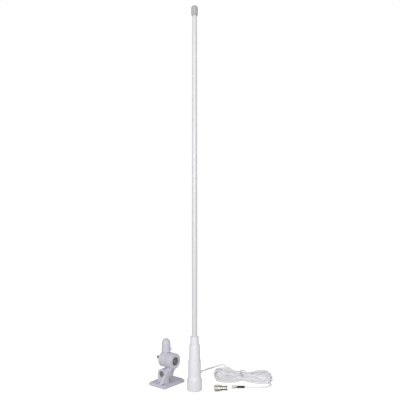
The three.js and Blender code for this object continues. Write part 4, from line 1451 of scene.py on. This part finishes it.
@dataclass
class RatchetMount:
    """The four-way mount: a plate with its ear, an arm, a head with the stud, and its cap."""

    yaw: float = -40.0
    plate: tuple[float, float, float] = (70.0, 98.0, 10.0)
    plate_step: float = 6.5
    plate_inset: float = 3.0
    plate_corner: float = 5.0
    screw_spacing: tuple[float, float] = (50.0, 78.0)
    screw_radius: float = 3.5
    screw_head: float = 6.5
    lower: float = 35.0
    upper: float = 78.0
    barrel: float = 17.0
    drum: float = 24.5
    ear: tuple[float, float] = (-25.0, -11.0)
    barrel_back: float = 14.0
    gusset: tuple[float, float] = (8.0, 19.0)
    gusset_side: tuple[tuple[float, float], ...] = (
        (-44.875, 8.0), (-11.0, 8.0), (-11.0, 46.5), (-16.0, 46.5),
    )
    seam: float = 9.3
    head: float = 26.0
    drum_end: float = 37.0
    chamfer: float = 1.5
    leg: tuple[float, float] = (-10.0, 11.0)
    gap: float = 0.3
    teeth: int = 24
    tooth: tuple[float, float] = (1.9, 1.2)
    tooth_inner: float = 8.0
    tooth_rim: float = 2.2
    bolt: float = 5.0
    small_recess: float = 10.0
    large_recess: float = 12.0
    recess_depths: tuple[float, float, float, float] = (8.5, 9.5, 10.0, 5.0)
    stud: tuple[float, float, float] = (12.5, 29.0, 2.5)
    cap: tuple[float, float, float, float] = (14.5, 13.9, 26.5, 15.0)
    tab: tuple[float, float, float] = (3.0, 6.0, 9.0)
    rounding: float = 0.9
    edge_angle: float = 34.0

    def place(self) -> Matrix:
        """From the mount's frame to the whole object's."""
        return Matrix.Rotation(math.radians(self.yaw), 4, "Z")

    def on_lower(self) -> Matrix:
        """Turns what is built along +Z to lie on the lower pivot, Z becoming Y."""
        return Matrix.Translation((0, 0, self.lower)) @ TURNS[Side.BACK]

    def on_upper(self) -> Matrix:
        """Turns what is built along +Z to lie on the upper pivot, Z becoming X."""
        return Matrix.Translation((0, 0, self.upper)) @ TURNS[Side.RIGHT]

    def _shape(self, outline: Outline, turn: Matrix, sides: int = 96) -> bpy.types.Object:
        """A turned solid in place."""
        return Solid().revolve(outline, sides, turn).piece("shape", self.place())

    def _hole(
        self, radius: float, start: float, end: float, turn: Matrix, mouth: int = 0,
    ) -> bpy.types.Object:
        """A drill whose mouth is eased at its lower end, its upper end or neither.

        Args:
            radius: Of the hole.
            start: Where it starts along its axis.
            end: Where it ends.
            turn: Where its axis lies.
            mouth: -1 to ease the mouth at the start, 1 at the end.

        Returns:
            The cutter.
        """
        ease = 0.7
        outline = rod(radius, start, end)
        if mouth < 0:
            outline = [
                (0.0, start), (radius + ease + 1, start), (radius, start + 1 + ease), *outline[2:],
            ]
        if mouth > 0:
            outline = [*outline[:2], (radius, end - 1 - ease), (radius + ease + 1, end), (0.0, end)]
        return self._shape(outline, turn, 64)

    def _across_x(self, outline: Outline, start: float, end: float) -> bpy.types.Object:
        """An outline of Y and Z, extruded along X."""
        turn = Matrix(((0, 0, 1, 0), (1, 0, 0, 0), (0, 1, 0, 0), (0, 0, 0, 1)))
        return Solid().prism(outline, start, end, turn).piece("shape", self.place())

    def _across_y(self, outline: Outline, start: float, end: float) -> bpy.types.Object:
        """An outline of X and Z, extruded along Y."""
        return Solid().prism(outline, -end, -start, TURNS[Side.FRONT]).piece("shape", self.place())

    def _teeth(self, rim: float, turn: Matrix, finish: bpy.types.Material) -> bpy.types.Object:
        """Cutter for the ratchet teeth of a face that looks along +Z at height 0."""
        half, depth = self.tooth[0] / 2, self.tooth[1]
        groove = [(-half, 0.01), (0.0, -depth), (half, 0.01)]
        reach = rim - self.tooth_rim
        wedge = Solid().prism(groove, -reach, -self.tooth_inner, TURNS[Side.FRONT])
        cutter = around(wedge.piece("teeth", Matrix.Identity(4)), self.teeth, finish)
        return moved(cutter, self.place() @ turn)

    def bracket(self, finish: bpy.types.Material) -> bpy.types.Object:
        """The plate, the ear and the gusset, moulded in one."""
        width, length, height = self.plate
        inset = 2 * self.plate_inset
        front, back = self.ear
        edge = rounded_rectangle(width, length, self.plate_corner)
        deck = rounded_rectangle(width - inset, length - inset, self.plate_corner)
        body = Solid().prism(edge, 0, self.plate_step).piece("bracket_moulding", self.place())
        web = [
            (front, self.plate_step - 1), (back, self.plate_step - 1), (back, self.lower),
            (front, self.lower),
        ]
        carve(body, [], [
            Solid().prism(deck, 0.5, height).piece("deck", self.place()),
            self._across_x(web, -self.barrel, self.barrel),
            self._shape(rod(self.barrel, front, back), self.on_lower()),
            self._across_x(list(self.gusset_side), *self.gusset),
        ])
        round_edges(body, self.rounding, self.edge_angle)
        drills = []
        for x in (-1, 1):
            for y in (-1, 1):
                spot = Matrix.Translation(
                    (x * self.screw_spacing[0] / 2, y * self.screw_spacing[1] / 2, 0)
                )
                drills.append(self._hole(self.screw_radius, -1, height + 1, spot, -1))
                drills.append(self._hole(self.screw_head, self.plate_step, height + 1, spot, 1))
        on_lower = self.on_lower()
        carve(body, [
            self._teeth(self.barrel, on_lower @ Matrix.Translation((0, 0, back)), finish),
            self._hole(self.bolt + self.gap, front - 1, back + 1, on_lower),
            self._hole(self.small_recess, front - 1, front + self.recess_depths[0], on_lower, -1),
            *drills,
        ])
        return body

    def arm(self, finish: bpy.types.Material) -> bpy.types.Object:
        """The arm between the two pivots."""
        start, face = self.ear[1] + self.gap, self.seam + self.gap
        shoulder = self.upper - self.drum - 1.2
        flank = self.drum_end - 2 * self.chamfer
        body = self._shape(rod(self.barrel, start, self.barrel_back), self.on_lower())
        leg = [
            (0.0, self.lower), (self.barrel - 1, self.lower), (flank, shoulder + 6), (flank, self.upper),
            (face, self.upper), (face, shoulder), (0.0, shoulder - 1),
        ]
        drum = [(0.0, face), (self.drum, face), (self.drum, self.drum_end - self.chamfer)]
        drum += [(self.drum - self.chamfer, self.drum_end), (0.0, self.drum_end)]
        carve(body, [], [self._across_y(leg, *self.leg), self._shape(drum, self.on_upper(), 128)])
        round_edges(body, self.rounding, self.edge_angle)
        body.name = "arm_moulding"
        lower, upper = self.on_lower(), self.on_upper()
        barrel_floor = self.barrel_back - self.recess_depths[1]
        drum_floor = self.drum_end - self.recess_depths[2]
        lower_face = Matrix.Translation((0, start, self.lower)) @ TURNS[Side.FRONT]
        upper_face = Matrix.Translation((face, 0, self.upper)) @ TURNS[Side.LEFT]
        carve(body, [
            self._teeth(self.barrel, lower_face, finish),
            self._teeth(self.drum, upper_face, finish),
            self._hole(self.bolt + self.gap, start - 1, self.barrel_back + 1, lower),
            self._hole(self.small_recess, barrel_floor, self.barrel_back + 1, lower, 1),
            self._hole(self.bolt + self.gap, face - 1, self.drum_end + 1, upper),
            self._hole(self.large_recess, drum_floor, self.drum_end + 1, upper, 1),
        ])
        return body

    def stud_middle(self) -> float:
        """Where the stud stands along the upper pivot."""
        return self.seam - self.head / 2

    def stud_top(self) -> float:
        """The stud's upper end."""
        return self.upper + self.drum + self.stud[1]

    def stud_head(self, finish: bpy.types.Material) -> bpy.types.Object:
        """The head drum and its threaded stud."""
        far = self.seam - self.head
        radius, _, chamfer = self.stud
        drum = [(0.0, far), (self.drum - self.chamfer, far), (self.drum, far + self.chamfer)]
        drum += [(self.drum, self.seam), (0.0, self.seam)]
        body = self._shape(drum, self.on_upper(), 128)
        body.name = "head_moulding"
        aside = Matrix.Translation((self.stud_middle(), 0, 0))
        root, top = radius - 0.62, self.stud_top()
        post = [(0.0, self.upper), (radius, self.upper), (radius, self.upper + self.drum + 1.2)]
        post += [
            (root, self.upper + self.drum + 1.8), (root, top - chamfer), (root - chamfer + 0.6, top),
            (0.0, top),
        ]
        carve(body, [], [self._shape(post, aside)])
        round_edges(body, self.rounding, self.edge_angle)
        carve(body, [
            self._teeth(self.drum, self.on_upper() @ Matrix.Translation((0, 0, self.seam)), finish),
            self._hole(self.bolt + self.gap, far - 1, self.seam + 1, self.on_upper()),
            self._hole(self.small_recess, far - 1, far + self.recess_depths[3], self.on_upper(), -1),
        ])
        start = self.upper + self.drum + 2.4
        thread = Helix("stud_thread", root + 0.02, STUD_PITCH, start, top - chamfer, 0.58, resolution=64)
        return merge(body, thread.build(finish, self.place() @ aside))

    def thread_cap(self) -> bpy.types.Object:
        """The domed cap that keeps the stud's thread clean, with its thumb tab."""
        radius, shoulder, side, rise = self.cap
        mouth = self.upper + self.drum + 1
        bore, chamfer = self.stud[0] + self.gap, self.stud[2]
        roof = self.stud_top() + self.gap
        outline = [
            (0.0, roof), (bore - chamfer, roof), (bore, roof - chamfer), (bore, mouth + 0.4),
            (bore + 0.4, mouth), (radius - 0.5, mouth), (radius, mouth + 0.5),
            *dome(shoulder, rise, mouth + side, 24),
        ]
        aside = Matrix.Translation((self.stud_middle(), 0, 0))
        body = Solid().revolve(outline, 112, aside).piece("cap_moulding", self.place(), angle=40)
        reach, width, height = self.tab
        low = mouth + reach
        turn = aside @ Matrix.Rotation(math.radians(-self.yaw), 4, "Z")
        tab_outline = [
            (radius - 1, -width / 2), (radius + reach, -width / 2), (radius + reach, width / 2),
        ]
        tab_outline.append((radius - 1, width / 2))
        tab = Solid().prism(eased(tab_outline, 1.0), low, low + height, turn)
        carve(body, [], [tab.piece("tab", self.place(), bevel=0.5)])
        return sharpen(body, 40)

    def clamps(self) -> list[Clamp]:
        """The two clamp bolts."""
        ear, barrel, drum, head = self.recess_depths
        over = Matrix.Rotation(math.pi, 4, "X")
        far = self.seam - self.head + head
        lower, upper = self.place() @ self.on_lower(), self.place() @ self.on_upper() @ over
        return [
            Clamp("lower", self.ear[0] + ear, self.barrel_back - barrel, 3.0, lower, "root", "arm"),
            Clamp("upper", drum - self.drum_end, -far, 20.0, upper, "arm", "head"),
        ]

    def build(self, finishes: dict[str, bpy.types.Material]) -> list[bpy.types.Object]:
        """Builds and dresses the mount.

        Args:
            finishes: The materials by slot.

        Returns:
            Its pieces.
        """
        nylon = finishes["grey_nylon"]
        mouldings = [
            (self.bracket(nylon), "root", "base_bracket"), (self.arm(nylon), "arm", "swivel_arm"),
            (self.stud_head(nylon), "head", "stud_head"), (self.thread_cap(), "cap", "thread_cap"),
        ]
        pieces = []
        for piece, body, node in mouldings:
            piece.data.shade_smooth()
            pieces.append(dress(sharpen(piece, self.edge_angle), finishes, body, "grey_nylon", node))
        for clamp in self.clamps():
            pieces += clamp.build(finishes)
        return pieces


# ---------------------------------------------------------------- connectors
@dataclass
class CableConnector:
    """The small connector on the cable's end, under its heat-shrink sleeve."""

    start: tuple[float, float, float] = (247.2, -46.0, 4.7)
    sleeve: tuple[float, float, float] = (24.0, 3.8, 3.0)
    shell_from: float = 24.3
    rear: tuple[float, float] = (5.0, 3.96)
    groove: tuple[float, float] = (2.2, 3.33)
    nut: tuple[float, float] = (9.0, 4.5)
    bore: float = 2.7
    contact: float = 0.65
    knurls: int = 30

    def place(self) -> Matrix:
        """From its own axis, cable end first, to the whole object's frame."""
        return Matrix.Translation(self.start) @ TURNS[Side.LEFT]

    def build(self, finishes: dict[str, bpy.types.Material]) -> list[bpy.types.Object]:
        """Builds and dresses the connector.

        Args:
            finishes: The materials by slot.

        Returns:
            Its pieces.
        """
        length, radius, inside = self.sleeve
        ripples = [
            (
                radius - 0.18 + 0.14 * math.sin(2.3 * step) * math.sin(math.pi * step / 24),
                1.2 + 0.9 * step,
            )
            for step in range(25)
        ]
        skin = [(inside, 0.0), (radius - 0.5, 0.0), (radius - 0.25, 0.3), *ripples]
        skin += [(radius - 0.2, length - 0.4), (radius - 0.5, length), (inside, length)]
        sleeve = Solid().revolve(skin, 48, closed=True).piece("shrink_sleeve", self.place(), angle=45)
        rear_to = self.shell_from + self.rear[0]
        nut_from = rear_to + self.groove[0]
        mouth = nut_from + self.nut[0]
        floor = self.shell_from + 5
        outline = [
            (0.0, self.shell_from), (self.rear[1], self.shell_from), (self.rear[1], rear_to),
            (self.groove[1], rear_to), (self.groove[1], nut_from), (self.nut[1], nut_from),
            (self.nut[1], mouth), (self.bore, mouth), (self.bore, floor), (0.0, floor),
        ]
        shell = Solid().revolve(eased(outline, 0.3, 3, False), 96).piece(
            "connector_shell", self.place(), angle=30,
        )
        aside = Matrix.Translation((self.nut[1] + 0.12, 0, 0))
        line = Solid().revolve(rod(0.3, nut_from + 1.2, mouth - 1.2), 6, aside).piece(
            "knurl", Matrix.Identity(4),
        )
        carve(shell, [moved(around(line, self.knurls, finishes["nickel"]), self.place())])
        sharpen(shell, 30)
        tip = mouth - 1
        contact = [
            (0.0, floor + 0.3), (self.contact, floor + 0.3), *dome(self.contact, 0.9, tip - 0.9, 6),
        ]
        pin = Solid().revolve(contact, 24).piece("centre_contact", self.place())
        return [
            dress(sleeve, finishes, "root", "black_sleeve", "heat_shrink"),
            dress(shell, finishes, "root", "nickel", "connector_body"),
            dress(pin, finishes, "root", "brass", "connector_pin"),
        ]


@dataclass
class RadioAdapter:
    """The loose adapter: its knurled coupling nut, its plug's pin and its socket for the cable."""

    start: tuple[float, float, float] = (152.0, -70.0, 9.8)
    nut_radius: float = 9.6
    nut_bore: float = 8.1
    nut_length: float = 18.0
    lip: tuple[float, float] = (2.0, 6.7)
    flutes: int = 24
    flute_depth: float = 0.45
    plug: tuple[float, float, float] = (6.0, 4.6, 2.0)
    shoulder: tuple[float, float] = (7.7, 3.0)
    radius: float = 7.4
    waist: float = 6.5
    socket: tuple[float, float] = (4.9, 9.0)
    pin_radius: float = 2.0
    pin_hold: float = 12.0
    rear: float = 18.3
    end: float = 40.0
    collar_to: float = 24.24
    band_from: float = 35.6
    gap: float = 0.3

    def place(self) -> Matrix:
        """From its own axis, plug end first, to the whole object's frame."""
        return Matrix.Translation(self.start) @ TURNS[Side.RIGHT]

    def coupling_nut(self, finish: bpy.types.Material) -> bpy.types.Object:
        """The free-turning nut with its flutes and its thread."""
        edge, lip_from = 0.6, self.nut_length - self.lip[0]
        outline = [
            (self.nut_bore, 0.4), (self.nut_bore + 0.4, 0.0), (self.nut_radius - edge, 0.0),
            (self.nut_radius - 0.15, 0.2), (self.nut_radius, edge),
            (self.nut_radius, self.nut_length - edge),
            (self.nut_radius - 0.15, self.nut_length - 0.2), (self.nut_radius - edge, self.nut_length),
            (self.lip[1], self.nut_length), (self.lip[1], lip_from), (self.nut_bore, lip_from),
        ]
        body = Solid().revolve(outline, 120, closed=True).piece("fluted_nut", self.place(), angle=30)
        reach = 2 * self.flute_depth
        aside = Matrix.Translation((self.nut_radius + self.flute_depth, 0, 0))
        groove = Solid().revolve(rod(reach, 2 * edge, self.nut_length - 2 * edge), 12, aside)
        cutter = around(groove.piece("flutes", Matrix.Identity(4)), self.flutes, finish)
        carve(body, [moved(cutter, self.place())])
        sharpen(body, 30)
        thread = Helix("nut_thread", self.nut_bore + 0.05, 1.06, 0.8, 12.0, 0.3)
        return merge(body, thread.build(finish, self.place()))

    def shell(self) -> bpy.types.Object:
        """The turned body."""
        shoulder_to = self.nut_length - self.lip[0] - self.gap
        shoulder_from = shoulder_to - self.shoulder[1]
        neck = self.lip[1] - self.gap
        radius, bore, start = self.plug
        pin_bore = self.pin_radius + self.gap
        floor, socket_floor = start + self.pin_hold, self.end - self.socket[1]
        outline = [
            (bore, start), (radius, start), (radius, shoulder_from), (self.shoulder[0], shoulder_from),
            (self.shoulder[0], shoulder_to), (neck, shoulder_to), (neck, self.rear),
            (self.radius, self.rear),
            (self.radius, self.collar_to), (self.waist, self.collar_to + 0.5),
            (self.waist, self.band_from - 0.5),
            (self.radius, self.band_from), (self.radius, self.band_from + 1.3),
            (self.radius - 0.3, self.band_from + 1.5),
            (self.radius - 0.3, self.band_from + 1.9), (self.radius, self.band_from + 2.1),
            (self.radius, self.end),
            (self.socket[0], self.end), (self.socket[0], socket_floor), (pin_bore, socket_floor),
            (pin_bore, floor), (bore, floor),
        ]
        made = Solid().revolve(outline, 96, closed=True, edge=0.22)
        return made.piece("adapter_shell", self.place(), angle=30)

    def build(self, finishes: dict[str, bpy.types.Material]) -> list[bpy.types.Object]:
        """Builds and dresses the adapter.

        Args:
            finishes: The materials by slot.

        Returns:
            Its pieces.
        """
        pin_end = self.end - self.socket[1] - self.gap
        tip = [(radius, -height) for radius, height in dome(self.pin_radius, self.pin_radius, 0.0, 10)]
        pin = Solid().revolve([*tip[::-1], (self.pin_radius, pin_end), (0.0, pin_end)], 40)
        return [
            dress(self.coupling_nut(finishes["nickel"]), finishes, "nut", "nickel", "coupling_nut"),
            dress(self.shell(), finishes, "root", "nickel", "adapter_body"),
            dress(pin.piece("plug_pin", self.place()), finishes, "root", "brass", "adapter_pin"),
        ]


# ---------------------------------------------------------------- studio
@dataclass
class Studio:
    """The camera, the pale floor and the soft light."""

    camera_at: tuple[float, float, float] = (0.107, -1.710, 0.593)
    lens: float = 47.57
    floor_size: float = 14.0
    floor_colour: Colour = (0.90, 0.90, 0.905)
    floor_bounce: Colour = (0.60, 0.60, 0.61)
    floor_glow: float = 0.60
    ambient: float = 0.44

    def camera(self) -> None:
        """Adds the camera, level and square to the object."""
        data = bpy.data.cameras.new("studio_camera")
        data.lens, data.clip_end = self.lens, 60
        camera = bpy.data.objects.new("studio_camera", data)
        camera.location = self.camera_at
        camera.rotation_euler = (math.pi / 2, 0, 0)
        bpy.context.collection.objects.link(camera)
        bpy.context.scene.camera = camera

    def softbox(
        self, name: str, place: tuple[float, float, float], aim: tuple[float, float, float],
        size: tuple[float, float], power: float,
    ) -> None:
        """Adds one soft area light.

        Args:
            name: Its name.
            place: Where it stands, in metres.
            aim: The point that it faces.
            size: Its width and height.
            power: Its power in watts.
        """
        data = bpy.data.lights.new(name, "AREA")
        data.shape, data.size, data.size_y, data.energy = "RECTANGLE", *size, power
        light = bpy.data.objects.new(name, data)
        light.location = place
        light.rotation_euler = (Vector(aim) - Vector(place)).to_track_quat("-Z", "Y").to_euler()
        bpy.context.collection.objects.link(light)

    def floor(self) -> None:
        """Adds the floor."""
        half = self.floor_size / 2
        data = bpy.data.meshes.new("studio_floor")
        corners = [(-half, -half, 0), (half, -half, 0), (half, half, 0), (-half, half, 0)]
        data.from_pydata([(x, y, -0.0002) for x, y, _ in corners], [], [(0, 1, 2, 3)])
        floor = bpy.data.objects.new("studio_floor", data)
        bpy.context.collection.objects.link(floor)
        surface = Surface("pale floor")
        seen = surface.node("ShaderNodeLightPath", output="Is Camera Ray")
        grain = surface.noise(4.0, 3.0)
        darker = tuple(c * 0.985 for c in self.floor_colour)
        shown = surface.blend(grain, self.floor_colour, darker)
        data.materials.append(surface.finish({
            "Base Color": surface.blend(seen, self.floor_bounce, shown), "Roughness": 0.85,
            "Emission Color": surface.blend(seen, (0.0, 0.0, 0.0), (1.0, 1.0, 1.0)),
            "Emission Strength": self.floor_glow,
        }))

    def build(self) -> None:
        """Sets the whole studio up."""
        self.camera()
        self.floor()
        scene = bpy.context.scene
        scene.view_settings.view_transform = "Standard"
        scene.world = scene.world or bpy.data.worlds.new("studio")
        scene.world.use_nodes = True
        room = NodeTree(scene.world.node_tree)
        white = {"Color": (1.0, 1.0, 1.0, 1.0)}
        glow = room.node("ShaderNodeBackground", inputs={**white, "Strength": self.ambient})
        wall = room.node("ShaderNodeBackground", inputs={**white, "Strength": 1.0})
        seen = room.node("ShaderNodeLightPath", output="Is Camera Ray")
        mixed = room.node("ShaderNodeMixShader", inputs={0: seen, 1: glow, 2: wall})
        room.node("ShaderNodeOutputWorld", inputs={"Surface": mixed})
        self.softbox("front_softbox", (0.2, -3.4, 1.1), (0.1, 0, 0.5), (2.6, 2.0), 70)
        self.softbox("left_softbox", (-2.4, -1.4, 1.6), (0.1, 0, 0.4), (1.4, 2.0), 14)
        self.softbox("top_softbox", (0.3, -0.4, 3.4), (0.1, 0, 0), (2.4, 2.0), 5)


# ---------------------------------------------------------------- assembly
def dress_frame(finishes: dict[str, bpy.types.Material]) -> None:
    """Gives every CAD node the finish of its own slot.

    Args:
        finishes: The materials by slot.
    """
    for part in frame["record"]["subparts"]:
        node = frame["nodes"][part["node"]]
        node.data.materials.clear()
        node.data.materials.append(finishes[part["material_slot"]])


def main() -> None:
    """Builds the whole set in order."""
    Studio().build()
    finishes = Finishes().make()
    dress_frame(finishes)
    cable = CoaxCable()
    cord = cable.build(finishes)
    on_cable = TwistTie().build(cable, finishes)
    on_cable += CableConnector().build(finishes)
    on_cable += [frame["nodes"][name] for name in ("connector_crimp", "connector_insulator")]
    cable.declare()
    pieces = [
        *WhipAntenna().build(finishes), *RatchetMount().build(finishes), *RadioAdapter().build(finishes),
    ]
    log.info("%d pieces built, cable %.2f m long", len(pieces) + len(on_cable) + 1, cable.length())


if __name__ == "__main__":
    logging.basicConfig(level=logging.INFO, format="%(message)s")
    main()
